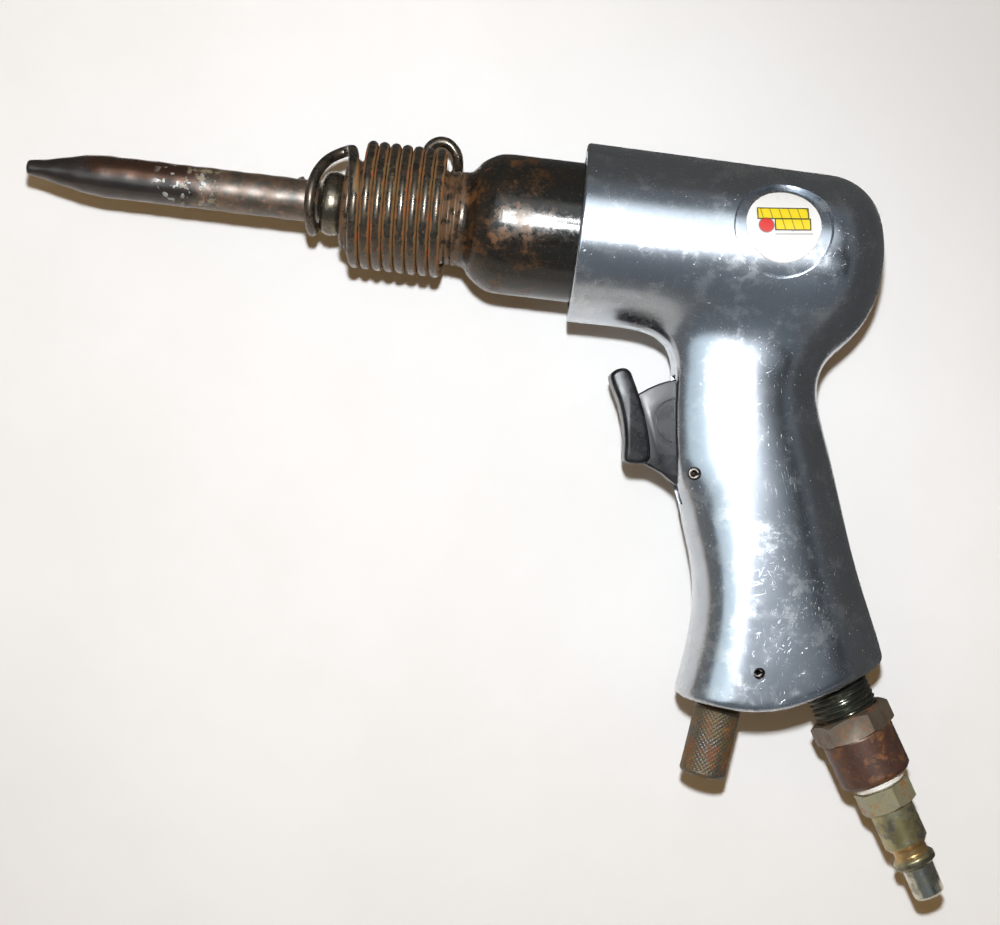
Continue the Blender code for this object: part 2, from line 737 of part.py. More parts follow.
def web_outline():
    """Side of the trigger's web: an arc about the pivot on top, a boss round the pin, a tapering tail."""
    top = arc(TRIGGER_PIVOT, TRIGGER_ARC_R, 135, 88, 8)
    boss = arc(TRIGGER_PIVOT, 4.2, -20, -100, 5)
    tail = [(35.0, -66.2), (31.0, -63.6), (26.5, -61.8), (21.5, -61.2)]
    return [*top, (41.9, -40.0), (41.9, -58.0), *boss, *tail]


def pad_outline():
    """Side of the finger pad: a rounded tip, a hollow finger face and a straight back."""
    tip = [(19.6, -38.2), (18.8, -36.7), (17.3, -35.9), (15.6, -36.5), (14.0, -37.7), (13.6, -39.0)]
    face = [(15.0, -42.0), (16.8, -45.0), (18.2, -49.0), (19.2, -53.0), (19.8, -57.5), (20.0, -61.0)]
    foot = [(20.6, -61.6), (26.4, -61.2), (27.2, -59.6)]
    back = [(26.6, -56.0), (25.2, -51.0), (23.3, -46.0), (21.3, -42.0)]
    return tip + face + foot + back


def make_trigger(tool):
    trigger = slab(tool, "trigger", pad_outline(), PAD_HALF, TRIGGER_PIVOT, bevel=0.8)
    join(trigger, slab(tool, "trigger_web", web_outline(), WEB_HALF, TRIGGER_PIVOT, cutter=True))
    cut(trigger, cross_pin_hole(tool, "trigger_pin_bore", TRIGGER_PIVOT, TRIGGER_PIN_R))
    for number, side in ((1, 1), (2, -1)):
        inner = FINGER_DIMPLE + Z_AXIS * side * (WEB_HALF - FINGER_DIMPLE_DEPTH)
        outer = FINGER_DIMPLE + Z_AXIS * side * (WEB_HALF + 2)
        cut(trigger, drill(tool, f"trigger_dimple_{number}", inner, outer, FINGER_DIMPLE_R, 24))
    return paint(trigger, "black_plastic", (0.02, 0.02, 0.022), 0.38, 0.0)


def roll_pin(tool, name, centre, radius, length, colour):
    half = length / 2
    pin = turned(tool, name, tube_walk(-half, half, radius, radius * 0.6), centre, closed=True, steps=16)
    pin.rotation_quaternion = (1.0, 0.0, 0.0, 0.0)
    return paint(pin, name + "_steel", colour, 0.4, 1.0)


def make_bushing(tool):
    start, end = BUSHING_X
    seal_groove = [(50.4, 6.2), (50.4, 5.1), (52.6, 5.1), (52.6, 6.2)]
    air_groove = [(53.4, 6.2), (53.4, 4.7), (55.2, 4.7), (55.2, 6.2)]
    outside = [(start, 5.9), (start + 0.3, 6.2), *seal_groove, *air_groove, (end, 6.2)]
    inside = [(end, 2.9), (start + 4.0, 2.9), (start + 4.0, STEM_R + GAP), (start, STEM_R + GAP)]
    bushing = turned(tool, "throttle_bushing", outside + inside, Y_AXIS * THROTTLE_Y, closed=True, steps=20)
    middle = Vector((54.3, THROTTLE_Y, 0.0))
    cut(bushing, drill(tool, "bushing_ports", middle - Y_AXIS * 8, middle + Y_AXIS * 8, 0.75, 8))
    return paint(bushing, "brass", (0.7, 0.52, 0.22), 0.3, 1.0)


def make_stem(tool):
    head_start, head_end = STEM_HEAD_X
    outside = [
        (STEM_TIP_X, 1.4), (STEM_TIP_X + 0.8, STEM_R), (head_start, STEM_R), (head_start, STEM_HEAD_R),
        (head_end, STEM_HEAD_R), (head_end, 1.8), (62.6, 1.8), (63.0, 1.4),
    ]
    stem = turned(tool, "throttle_stem", solid_walk(outside), Y_AXIS * THROTTLE_Y, steps=20)
    return paint(stem, "stem_brass", (0.66, 0.5, 0.24), 0.3, 1.0)


def make_throttle_spring(tool):
    start, end, wire_r, mean_r = STEM_HEAD_X[1] + 0.7, THROTTLE_BORE_END_X - 0.8, 0.4, 3.2
    turns, steps = 4, 9
    path = []
    for i in range(turns * steps + 1):
        angle = math.tau * i / steps
        x = start + (end - start) * i / (turns * steps)
        path.append((x, THROTTLE_Y + mean_r * math.cos(angle), mean_r * math.sin(angle)))
    spring = wire(tool, "throttle_spring", path, wire_r)
    return paint(spring, "spring_steel", (0.5, 0.5, 0.5), 0.3, 1.0)


# ---------------------------------------------------------------- regulator

def make_regulator(tool):
    groove_low, groove_high = PIN_GROOVE_W - 1.9, PIN_GROOVE_W + 1.9
    seal_low, seal_high = SEAL_GROOVE_W - 1.2, SEAL_GROOVE_W + 1.2
    nose = [
        (-REGULATOR_DEPTH, NOSE_R - 0.5), (-REGULATOR_DEPTH + 0.5, NOSE_R), (NOSE_ROOT_W, NOSE_R),
        (NOSE_ROOT_W, PLUG_R),
    ]
    seal_groove = [(seal_low, PLUG_R), (seal_low, 5.8), (seal_high, 5.8), (seal_high, PLUG_R)]
    pin_groove = [(groove_low, PLUG_R), (groove_low, 4.9), (groove_high, 4.9), (groove_high, PLUG_R)]
    grip = [
        (-2.0, PLUG_R), (-2.0, KNOB_R), (KNOB_LENGTH - 1.0, KNOB_R), (KNOB_LENGTH - 0.3, KNOB_R - 0.4),
        (KNOB_LENGTH, KNOB_R - 1.0),
    ]
    outside = [*nose, *seal_groove, *pin_groove, *grip]
    knob = turned(tool, "regulator_knob", solid_walk(outside), REGULATOR_FACE, REGULATOR_AXIS, steps=24)
    cut(knob, flow_flat(tool))
    return paint(knob, "rusty_knurled_steel", (0.16, 0.11, 0.06), 0.6, 1.0)


def flow_flat(tool):
    """The flat on the regulator's nose, which opens or shuts the air way as the knob turns."""
    middle = regulator_point(FLOW_FLAT_LENGTH / 2 - REGULATOR_DEPTH - 1)
    flat = block(tool, "regulator_flat", (-6.0, -3.0, 0.0), (6.0, 3.0, FLOW_FLAT_LENGTH))
    flat.location = (middle - REGULATOR_AXIS.cross(Z_AXIS) * 3.0) * MM
    flat.rotation_mode = "QUATERNION"
    flat.rotation_quaternion = lay_axis(REGULATOR_AXIS)
    return flat


# ---------------------------------------------------------------- air inlet

def make_screen(tool):
    outside = [(-30.8, 0.0), (-30.8, 6.3), (-30.5, 6.6), (-19.6, 6.6)]
    inside = [(-19.6, 5.8), (-30.0, 5.8), (-30.0, 0.0)]
    screen = turned(tool, "inlet_screen", outside + inside, INLET_POINT, INLET_AXIS, steps=24)
    return paint(screen, "screen_mesh", (0.55, 0.5, 0.35), 0.4, 1.0)


def make_adapter(tool):
    hex_low, hex_high = ADAPTER_HEX_U
    core_r, socket_r = ADAPTER_HEX_FLATS / 2 - 0.6, PLUG_THREAD_R + GAP
    thread = [(-18.8, INLET_THREAD_R - 0.8), (-18.0, INLET_THREAD_R), (hex_low + 1, INLET_THREAD_R)]
    core = [(hex_low + 1, core_r), (hex_high - 1, core_r)]
    sleeve = [(hex_high - 1, ADAPTER_R), (ADAPTER_END_U - 1, ADAPTER_R), (ADAPTER_END_U, ADAPTER_R - 1)]
    inside = [(ADAPTER_END_U, socket_r), (12.0, socket_r), (12.0, 5.0), (-18.8, 5.0)]
    walk = [*thread, *core, *sleeve, *inside]
    adapter = turned(tool, "inlet_adapter", walk, INLET_POINT, INLET_AXIS, closed=True, steps=32)
    nut = hexagon(
        tool, "adapter_hex", ADAPTER_HEX_U, ADAPTER_HEX_FLATS, INLET_POINT, INLET_AXIS, ADAPTER_HEX_TURN
    )
    cut(nut, drill(tool, "adapter_hex_bore", inlet_point(0), inlet_point(14), 9.0, 32))
    join(adapter, nut)
    return paint(adapter, "rusty_steel_adapter", (0.2, 0.11, 0.07), 0.55, 1.0)


def make_tape(tool):
    walk = [
        (ADAPTER_END_U + GAP, 6.6), (ADAPTER_END_U + 1.2, 6.95), (PLUG_HEX_U[0] - GAP, 6.7),
        (PLUG_HEX_U[0] - GAP, 6.35), (ADAPTER_END_U + GAP, 6.35),
    ]
    tape = turned(tool, "thread_seal_tape", walk, INLET_POINT, INLET_AXIS, closed=True, steps=32)
    return paint(tape, "white_tape", (0.85, 0.84, 0.8), 0.6, 0.0)


def make_plug(tool):
    outside = [(12.6, PLUG_THREAD_R - 0.6), (13.2, PLUG_THREAD_R), *PLUG_OUTSIDE]
    inside = [(PLUG_OUTSIDE[-1][0], PLUG_BORE_R), (12.6, PLUG_BORE_R)]
    plug = turned(tool, "inlet_plug", outside + inside, INLET_POINT, INLET_AXIS, closed=True, steps=28)
    nut = hexagon(tool, "plug_hex", PLUG_HEX_U, PLUG_HEX_FLATS, INLET_POINT, INLET_AXIS, PLUG_HEX_TURN)
    cut(nut, drill(tool, "plug_hex_bore", inlet_point(20), inlet_point(40), 4.5, 28))
    join(plug, nut)
    return paint(plug, "yellow_zinc", (0.5, 0.46, 0.3), 0.35, 1.0)


# ---------------------------------------------------------------- the tool

def main():
    clear_scene()
    tool = Tool()
    make_casting(tool)
    make_badge(tool)
    make_barrel(tool)
    make_piston(tool)
    make_front_case(tool)
    make_rear_case(tool)
    make_valve_disc(tool)
    make_valve_pins(tool)
    make_punch(tool)
    make_retaining_spring(tool)
    make_trigger(tool)
    roll_pin(tool, "trigger_pin", TRIGGER_PIVOT, TRIGGER_PIN_R, TRIGGER_PIN_LENGTH, (0.3, 0.28, 0.26))
    make_bushing(tool)
    make_stem(tool)
    seal = ring(tool, "throttle_seal_ring", (57.0, THROTTLE_Y, 0), X_AXIS, 3.15, 0.5)
    paint(seal, "throttle_seal_rubber", (0.02, 0.02, 0.02), 0.6, 0.0)
    seal = ring(tool, "bushing_seal_ring", (51.5, THROTTLE_Y, 0), X_AXIS, 5.8, 0.5)
    paint(seal, "bushing_seal_rubber", (0.02, 0.02, 0.02), 0.6, 0.0)
    make_throttle_spring(tool)
    make_regulator(tool)
    seal = ring(tool, "regulator_seal_ring", regulator_point(SEAL_GROOVE_W), REGULATOR_AXIS, 6.75, 0.75)
    paint(seal, "regulator_seal_rubber", (0.02, 0.02, 0.02), 0.6, 0.0)
    roll_pin(tool, "regulator_pin", REGULATOR_PIN, REGULATOR_PIN_R, REGULATOR_PIN_LENGTH, (0.3, 0.28, 0.26))
    make_screen(tool)
    make_adapter(tool)
    make_tape(tool)
    make_plug(tool)
    bpy.context.view_layer.update()


main()
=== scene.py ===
import json
import math

import bmesh
import bpy
import numpy as np
from mathutils import Matrix, Vector

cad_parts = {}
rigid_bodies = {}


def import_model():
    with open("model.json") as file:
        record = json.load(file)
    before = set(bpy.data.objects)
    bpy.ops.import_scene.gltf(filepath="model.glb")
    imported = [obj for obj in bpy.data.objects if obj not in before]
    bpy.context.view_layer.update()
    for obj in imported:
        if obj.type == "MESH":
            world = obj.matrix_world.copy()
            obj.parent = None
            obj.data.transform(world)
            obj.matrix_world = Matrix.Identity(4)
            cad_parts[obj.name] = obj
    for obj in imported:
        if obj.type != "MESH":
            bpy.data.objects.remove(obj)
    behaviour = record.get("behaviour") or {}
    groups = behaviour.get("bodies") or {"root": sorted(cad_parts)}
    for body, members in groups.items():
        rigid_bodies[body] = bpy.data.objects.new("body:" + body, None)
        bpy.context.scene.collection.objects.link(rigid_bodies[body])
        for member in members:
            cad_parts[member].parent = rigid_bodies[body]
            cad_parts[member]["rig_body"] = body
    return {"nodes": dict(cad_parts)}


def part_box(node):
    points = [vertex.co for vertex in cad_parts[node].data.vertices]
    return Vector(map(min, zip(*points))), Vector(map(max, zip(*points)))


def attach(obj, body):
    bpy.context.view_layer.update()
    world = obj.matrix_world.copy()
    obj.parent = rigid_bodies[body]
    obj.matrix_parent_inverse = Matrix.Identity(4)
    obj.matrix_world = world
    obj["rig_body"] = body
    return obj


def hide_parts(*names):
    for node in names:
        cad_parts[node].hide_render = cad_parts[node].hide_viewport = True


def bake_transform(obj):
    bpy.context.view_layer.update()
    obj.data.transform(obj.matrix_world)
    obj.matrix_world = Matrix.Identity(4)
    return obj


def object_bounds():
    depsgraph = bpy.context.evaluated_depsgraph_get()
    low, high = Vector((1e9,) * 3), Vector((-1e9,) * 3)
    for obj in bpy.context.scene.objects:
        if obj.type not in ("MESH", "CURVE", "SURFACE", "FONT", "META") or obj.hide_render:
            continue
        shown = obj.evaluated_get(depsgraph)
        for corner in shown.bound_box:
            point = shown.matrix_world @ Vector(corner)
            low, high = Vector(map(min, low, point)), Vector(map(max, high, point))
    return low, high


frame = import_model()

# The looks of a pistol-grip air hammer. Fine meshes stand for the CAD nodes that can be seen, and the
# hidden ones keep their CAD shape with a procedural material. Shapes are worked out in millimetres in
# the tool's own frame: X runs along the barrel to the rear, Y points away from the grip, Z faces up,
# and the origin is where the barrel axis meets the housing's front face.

CAD_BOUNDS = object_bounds()
MM = 0.001
X_AXIS, Y_AXIS, Z_AXIS = Vector((1, 0, 0)), Vector((0, 1, 0)), Vector((0, 0, 1))


def tool_origin():
    """The tool's own origin in the row frame, read from the frame's solids."""
    casting_low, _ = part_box("handle_casting")
    punch_low, punch_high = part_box("punch")
    middle = (punch_low + punch_high) / 2
    return Vector((casting_low.x, middle.y, middle.z))


ORIGIN = tool_origin()

# Housing and grip. A grip row is y, front x, back x, crest x, half thickness and the power of its back.
DOME_START_X, DOME_END_X, DOME_POWER = 66.9, 84.8, 2.3
HOUSING_R, HOUSING_TAPER = 25.0, 0.9 / DOME_START_X
GRIP_ROWS = (
    (20.0, 31.2, 70.0, 50.0, 16.3, 2.8), (0.0, 31.2, 69.8, 50.0, 16.3, 2.7),
    (-20.0, 31.4, 69.8, 50.0, 16.3, 2.4), (-33.0, 31.7, 70.3, 50.5, 16.3, 2.3),
    (-38.0, 31.4, 71.1, 51.5, 16.3, 2.3), (-44.0, 31.9, 73.2, 52.5, 16.4, 2.3),
    (-52.0, 32.8, 76.4, 54.0, 16.5, 2.3), (-60.0, 34.2, 79.3, 55.5, 16.5, 2.3),
    (-68.0, 35.7, 82.1, 57.0, 16.5, 2.3), (-76.0, 38.0, 84.9, 58.0, 16.5, 2.3),
    (-84.0, 41.2, 88.0, 58.7, 16.6, 2.35), (-92.0, 43.5, 91.5, 59.0, 16.8, 2.4),
    (-100.0, 44.4, 95.3, 59.5, 17.0, 2.5), (-108.0, 44.0, 98.8, 60.0, 17.2, 2.6),
    (-118.0, 42.6, 101.0, 60.5, 17.4, 2.7), (-131.0, 40.6, 102.5, 61.0, 17.5, 2.7),
    (-150.0, 38.0, 104.0, 61.0, 17.5, 2.7),
)
GRIP_FRONT_POWER = 2.35
GRIP_BLEND, REAR_BLEND = 13.0, 19.0            # the crease where the housing meets the grip
REAR_BLEND_FROM_X, REAR_BLEND_TO_X = 50.0, 66.0
SCOOP_GROWTH, SCOOP_TOP, SCOOP_END = 5.0, -58.0, -74.0   # the front stood out so far, then was ground flat
GROUND_TOP_Y, GROUND_BACK_X, GROUND_EDGE = -17.0, 46.0, 1.8
BUTT_CORNER, BUTT_EDGE = 16.0, 3.0
REGULATOR_FACE = Vector((54.8, -125.4, 0.0))
REGULATOR_AXIS = Vector((-0.122, -0.9925, 0.0)).normalized()
INLET_POINT = Vector((88.75, -120.5, 0.0))
INLET_AXIS = Vector((0.521, -0.854, 0.0)).normalized()
INLET_FACE_U = -5.5
TRIGGER_PIVOT = Vector((39.1, -62.7, 0.0))
PIN_HOLE_R, REGULATOR_PIN_HOLE_R, WEB_TOP_R, SLOT_GAP = 1.8, 1.6, 26.3, 0.3
THROTTLE_Y = -47.0
REGULATOR_PIN = Vector((62.6, -114.2, 0.0))
BADGE_X, BADGE_R, BADGE_FLOOR_R, BADGE_THICK = 54.0, 10.1, 23.4, 0.4
BADGE_TILT, POCKET_TILT, POCKET_R, POCKET_FLARE = math.radians(15.0), math.radians(13.1), 12.9, 2.0


# ---------------------------------------------------------------- making pieces

def show(name, points, faces, body, slot, material, replaces, sharp):
    """A piece from points in the tool's millimetres, riding on a body and standing for CAD nodes."""
    mesh = bpy.data.meshes.new(name)
    placed = np.asarray(points, float) * MM + np.array(ORIGIN)
    mesh.from_pydata(placed.tolist(), [], faces)
    return show_mesh(name, mesh, body, material, replaces, sharp)


def show_mesh(name, mesh, body, material, replaces, sharp):
    """As show, from a mesh that is already in place. Edges over sharp degrees stay crisp."""
    mend(mesh)
    mesh.shade_smooth()
    mesh.set_sharp_from_angle(angle=math.radians(sharp))
    obj = bpy.data.objects.new(name, mesh)
    bpy.context.scene.collection.objects.link(obj)
    mesh.materials.clear()
    mesh.materials.append(material)
    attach(obj, body)
    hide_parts(*replaces)
    return obj


def mend(mesh, gap=0.000002):
    """Welds doubled points, drops loose ones and turns every face outwards."""
    shape = bmesh.new()
    shape.from_mesh(mesh)
    bmesh.ops.remove_doubles(shape, verts=shape.verts, dist=gap)
    bmesh.ops.delete(shape, geom=[v for v in shape.verts if not v.link_faces], context="VERTS")
    bmesh.ops.recalc_face_normals(shape, faces=shape.faces)
    shape.to_mesh(mesh)
    shape.free()


def ring_faces(rows, sides, closed=False):
    """Quads between rows of points, capped at both ends unless the rows close on themselves."""
    faces = []
    for i in range(rows if closed else rows - 1):
        low, high = i * sides, (i + 1) % rows * sides
        faces += [(low + k, low + (k + 1) % sides, high + (k + 1) % sides, high + k) for k in range(sides)]
    if not closed:
        faces += [tuple(range(sides)), tuple(range((rows - 1) * sides, rows * sides))]
    return faces


def basis(direction):
    """Side, second side and axis of a turned form whose axis lies in the XY plane."""
    axis = Vector(direction).normalized()
    return Z_AXIS, axis.cross(Z_AXIS), axis


def turned(walk, origin=(0, 0, 0), direction=X_AXIS, sides=128, closed=False, radius=None):
    """A turned form. walk lists (station, radius) up the outside and back down the inside.
    radius, if given, turns (stations, radii, angles) into the radii wanted, for threads and knurls."""
    stations = np.array([w[0] for w in walk], float)
    radii = np.array([w[1] for w in walk], float)
    angles = math.tau * np.arange(sides) / sides
    grid = np.repeat(radii[:, None], sides, 1)
    if radius is not None:
        grid = radius(stations[:, None], grid, angles[None, :])
    e1, e2, axis = (np.array(v) for v in basis(direction))
    ring = np.cos(angles)[:, None] * e1 + np.sin(angles)[:, None] * e2
    points = np.array(origin, float) + stations[:, None, None] * axis + grid[:, :, None] * ring
    return points.reshape(-1, 3), ring_faces(len(walk), sides, closed)


def fillet(corner_before, corner, corner_after, radius, steps=5):
    """Points that round one corner of a walk."""
    p0, p1, p2 = (Vector(p) for p in (corner_before, corner, corner_after))
    a, b = (p0 - p1).normalized(), (p2 - p1).normalized()
    half = a.angle(b) / 2
    reach = min(radius / math.tan(half), (p0 - p1).length * 0.49, (p2 - p1).length * 0.49)
    start, end = p1 + a * reach, p1 + b * reach
    made = []
    for i in range(steps + 1):
        t = i / steps
        q = start * (1 - t) ** 2 + p1 * 2 * t * (1 - t) + end * t**2
        made.append((q.x, q.y))
    return made


def rounded(walk):
    """A walk of (station, radius) whose corners are rounded where a third number gives a rounding."""
    made = []
    for i, (station, radius, *rounding) in enumerate(walk):
        if rounding:
            made += fillet(walk[i - 1][:2], (station, radius), walk[i + 1][:2], *rounding)
        else:
            made.append((station, radius))
    return made


def refined(walk, step):
    """Adds stations so that no stretch of a walk is longer than a step."""
    made = [walk[0]]
    for (s0, r0), (s1, r1) in zip(walk, walk[1:]):
        pieces = max(1, math.ceil(math.hypot(s1 - s0, r1 - r0) / step))
        made += [(s0 + (s1 - s0) * i / pieces, r0 + (r1 - r0) * i / pieces) for i in range(1, pieces + 1)]
    return made


def curve_through(points, steps):
    """Catmull-Rom curve through points, with steps points to a span."""
    inner = [np.array(p, float) for p in points]
    ends = [2 * inner[0] - inner[1], *inner, 2 * inner[-1] - inner[-2]]
    path = []
    for i in range(1, len(ends) - 2):
        p0, p1, p2, p3 = ends[i - 1:i + 3]
        for k in range(steps):
            t = k / steps
            path.append(
                p1 + 0.5 * ((p2 - p0) * t + (2 * p0 - 5 * p1 + 4 * p2 - p3) * t**2
                            + (3 * p1 - p0 - 3 * p2 + p3) * t**3)
            )
    path.append(inner[-1])
    return path


def tube(path, radius, sides):
    """A round wire along a path, with slightly chamfered ends."""
    chamfer, end_radius = 0.25, radius * 0.78
    path = np.array(path, float)
    tangents = np.gradient(path, axis=0)
    tangents /= np.linalg.norm(tangents, axis=1)[:, None]
    normal = np.cross(tangents[0], (0.3, 0.5, 0.8))
    angles = math.tau * np.arange(sides) / sides
    last = len(path) - 1
    loops = []
    for i, (place, tangent) in enumerate(zip(path, tangents)):
        normal = normal - tangent * (normal @ tangent)
        normal /= np.linalg.norm(normal)
        side = np.cross(tangent, normal)
        if i == 0:
            loops.append((place - tangent * chamfer, end_radius, normal, side))
        loops.append((place, radius, normal, side))
        if i == last:
            loops.append((place + tangent * chamfer, end_radius, normal, side))
    points = np.concatenate(
        [p + r * (np.cos(angles)[:, None] * a + np.sin(angles)[:, None] * b) for p, r, a, b in loops]
    )
    return points, ring_faces(len(loops), sides)


def slab(outline, half, rounding, steps=4):
    """A flat outline in XY with thickness both ways along Z, its rims rounded."""
    outline = np.array(outline, float)
    ahead, behind = np.roll(outline, -1, 0), np.roll(outline, 1, 0)
    along = ahead - behind
    along /= np.linalg.norm(along, axis=1)[:, None]
    area = np.sum(outline[:, 0] * ahead[:, 1] - ahead[:, 0] * outline[:, 1])
    inward = np.stack([-along[:, 1], along[:, 0]], 1) * (1 if area > 0 else -1)
    levels = []
    for i in range(steps + 1):
        t = math.pi / 2 * i / steps
        levels.append((half - rounding * (1 - math.sin(t)), rounding * (1 - math.cos(t))))
    rings = [(-z, inset) for z, inset in reversed(levels)] + levels
    count = len(outline)
    points = np.concatenate(
        [np.c_[outline + inward * inset, np.full(count, z)] for z, inset in rings]
    )
    return points, ring_faces(len(rings), count)


def arc(centre, radius, start, end, count):
    """Points on an arc between two angles in degrees."""
    angles = np.radians(np.linspace(start, end, count))
    return np.stack([centre[0] + radius * np.cos(angles), centre[1] + radius * np.sin(angles)], 1).tolist()


def solid(shape):
    """A temporary object, in millimetres, from points and faces."""
    points, faces = shape
    mesh = bpy.data.meshes.new("working")
    mesh.from_pydata(np.asarray(points, float).tolist(), [], faces)
    mend(mesh, 0.0005)
    obj = bpy.data.objects.new("working", mesh)
    bpy.context.scene.collection.objects.link(obj)
    return obj


def combined(base, *steps):
    """The mesh left after joining to or cutting from a base, each step being (operation, shape)."""
    subject = solid(base)
    tools = []
    for operation, shape in steps:
        tool = solid(shape)
        modifier = subject.modifiers.new("step", "BOOLEAN")
        modifier.operation = operation
        modifier.object = tool
        modifier.solver = "EXACT"
        tools.append(tool)
    bpy.context.view_layer.update()
    graph = bpy.context.evaluated_depsgraph_get()
    mesh = bpy.data.meshes.new_from_object(subject.evaluated_get(graph))
    mesh.transform(Matrix.Translation(ORIGIN) @ Matrix.Scale(MM, 4))
    for obj in [subject, *tools]:
        bpy.data.objects.remove(obj)
    return mesh


def drill(start, end, radius, sides):
    """A straight round cutter between two points."""
    start, end = Vector(start), Vector(end)
    axis = (end - start).normalized()
    side = axis.cross(Y_AXIS if abs(axis.y) < 0.9 else X_AXIS).normalized()
    other = axis.cross(side)
    ring = [
        side * math.cos(math.tau * k / sides) + other * math.sin(math.tau * k / sides)
        for k in range(sides)
    ]
    points = [tuple(start + r * radius) for r in ring] + [tuple(end + r * radius) for r in ring]
    return points, ring_faces(2, sides)


def box(low, high):
    """A block between two corners."""
    xs, ys, zs = zip(low, high)
    points = [(x, y, z) for x in xs for y in ys for z in zs]
    faces = [(0, 1, 3, 2), (4, 6, 7, 5), (0, 4, 5, 1), (2, 3, 7, 6), (0, 2, 6, 4), (1, 5, 7, 3)]
    return points, faces


def cross_drill(centre, radius, reach=40.0, sides=48):
    """A round cutter along Z, reaching both ways from its centre."""
    return drill(centre - Z_AXIS * reach, centre + Z_AXIS * reach, radius, sides)


# ---------------------------------------------------------------- handle casting

def smooth_rows():
    """The grip's section as smooth functions of y, on a fine even grid."""
    step, margin, spread = 0.25, 60, 4.5
    rows = np.array(GRIP_ROWS)[::-1]
    ys = np.arange(rows[0, 0], rows[-1, 0], step)
    weight = np.exp(-(np.arange(-margin, margin + 1) * step / spread) ** 2 / 2)
    weight /= weight.sum()
    columns = []
    for k in range(1, rows.shape[1]):
        line = np.interp(ys, rows[:, 0], rows[:, k])
        padded = np.concatenate([np.full(margin, line[0]), line, np.full(margin, line[-1])])
        columns.append(np.convolve(padded, weight, "valid"))
    return ys, columns


GRIP_Y, GRIP_COLUMNS = smooth_rows()


def smooth_max(a, b, size):
    """The larger of two fields, with the crease between them rounded."""
    h = np.maximum(size - np.abs(a - b), 0) / size
    return np.maximum(a, b) + h**3 * size / 6


def eased(value, start, end, height=1.0):
    """Rises smoothly from zero at start to a height at end."""
    share = np.clip((value - start) / (end - start), 0, 1)
    return height * share**2 * (3 - 2 * share)


def housing_radius(x):
    return HOUSING_R - HOUSING_TAPER * x


def housing_and_grip(x, y, z, growth, blend):
    """The housing and the grip run together, the grip's front standing out by growth."""
    radius = housing_radius(x)
    across = np.hypot(y, z) / radius
    along = np.maximum(x - DOME_START_X, 0) / (DOME_END_X - DOME_START_X)
    housing = ((along**DOME_POWER + across**DOME_POWER) ** (1 / DOME_POWER) - 1) * radius
    front, back, crest, half, back_power = (np.interp(y, GRIP_Y, c) for c in GRIP_COLUMNS)
    ahead = x < crest
    reach = np.where(ahead, crest - front + growth, back - crest)
    power = np.where(ahead, GRIP_FRONT_POWER, back_power)
    u, v = np.abs(x - crest) / reach, np.abs(z) / half
    grip = ((u**power + v**power + 1e-9) ** (1 / power) - 1) * half
    grip = smooth_max(grip, y - 8.0, 8.0)
    return -smooth_max(-housing, -grip, blend)


def body_field(p):
    """Negative inside the casting before it is bored, zero on its skin."""
    x, y, z = p[..., 0], p[..., 1], p[..., 2]
    growth = eased(y, SCOOP_END, SCOOP_TOP, SCOOP_GROWTH)
    blend = GRIP_BLEND + eased(x, REAR_BLEND_FROM_X, REAR_BLEND_TO_X, REAR_BLEND - GRIP_BLEND)
    full = housing_and_grip(x, y, z, growth, blend)
    outline = housing_and_grip(x, y, np.zeros_like(z), 0.0, REAR_BLEND)
    ground = np.minimum(outline, np.minimum(GROUND_TOP_Y - y, GROUND_BACK_X - x))
    joined = smooth_max(full, ground, GROUND_EDGE)
    point = np.stack([x, y], -1)
    low = (point - np.array(REGULATOR_FACE.xy)) @ np.array(REGULATOR_AXIS.xy)
    rear = (point - np.array(INLET_POINT.xy)) @ np.array(INLET_AXIS.xy) - INLET_FACE_U
    return smooth_max(joined, smooth_max(low, rear, BUTT_CORNER), BUTT_EDGE)


def settle(points, rounds):
    """Moves points along the field's gradient until they lie on the skin."""
    nudge = 0.01
    for _ in range(rounds):
        value = body_field(points)
        rises = [body_field(points + e) - body_field(points - e) for e in np.eye(3) * nudge]
        gradient = np.stack(rises, -1) / (2 * nudge)
        size = np.maximum((gradient**2).sum(-1), 0.05)
        points = points - gradient * (value / size)[:, None]
    return points


def surface_net(low, high, step):
    """A quad mesh round the region where the field is negative."""
    axes = [np.arange(a, b, step) for a, b in zip(low, high)]
    grid = np.stack(np.meshgrid(*axes, indexing="ij"), -1)
    inside = body_field(grid) < 0
    width, depth, height = (size - 1 for size in inside.shape)
    counts = sum(
        inside[i:width + i, j:depth + j, k:height + k].astype(int)
        for i in (0, 1) for j in (0, 1) for k in (0, 1)
    )
    active = (counts > 0) & (counts < 8)
    index = np.full(active.shape, -1)
    index[active] = np.arange(active.sum())
    cells = np.argwhere(active)
    points = np.array([a[0] for a in axes]) + (cells + 0.5) * step
    faces = []
    for axis in range(3):
        b, c = (axis + 1) % 3, (axis + 2) % 3
        changed = np.diff(inside.astype(int), axis=axis) != 0
        edges = np.argwhere(changed)
        edges = edges[(edges[:, b] > 0) & (edges[:, c] > 0)]
        loop = []
        for db, dc in ((1, 1), (0, 1), (0, 0), (1, 0)):
            cell = edges.copy()
            cell[:, b] -= db
            cell[:, c] -= dc
            loop.append(index[tuple(cell.T)])
        faces.append(np.stack(loop, 1))
    return points, np.concatenate(faces)


def edge_ends(faces):
    """Both ends of each side of each quad."""
    return np.concatenate([faces[:, [k, (k + 1) % 4]] for k in range(4)])


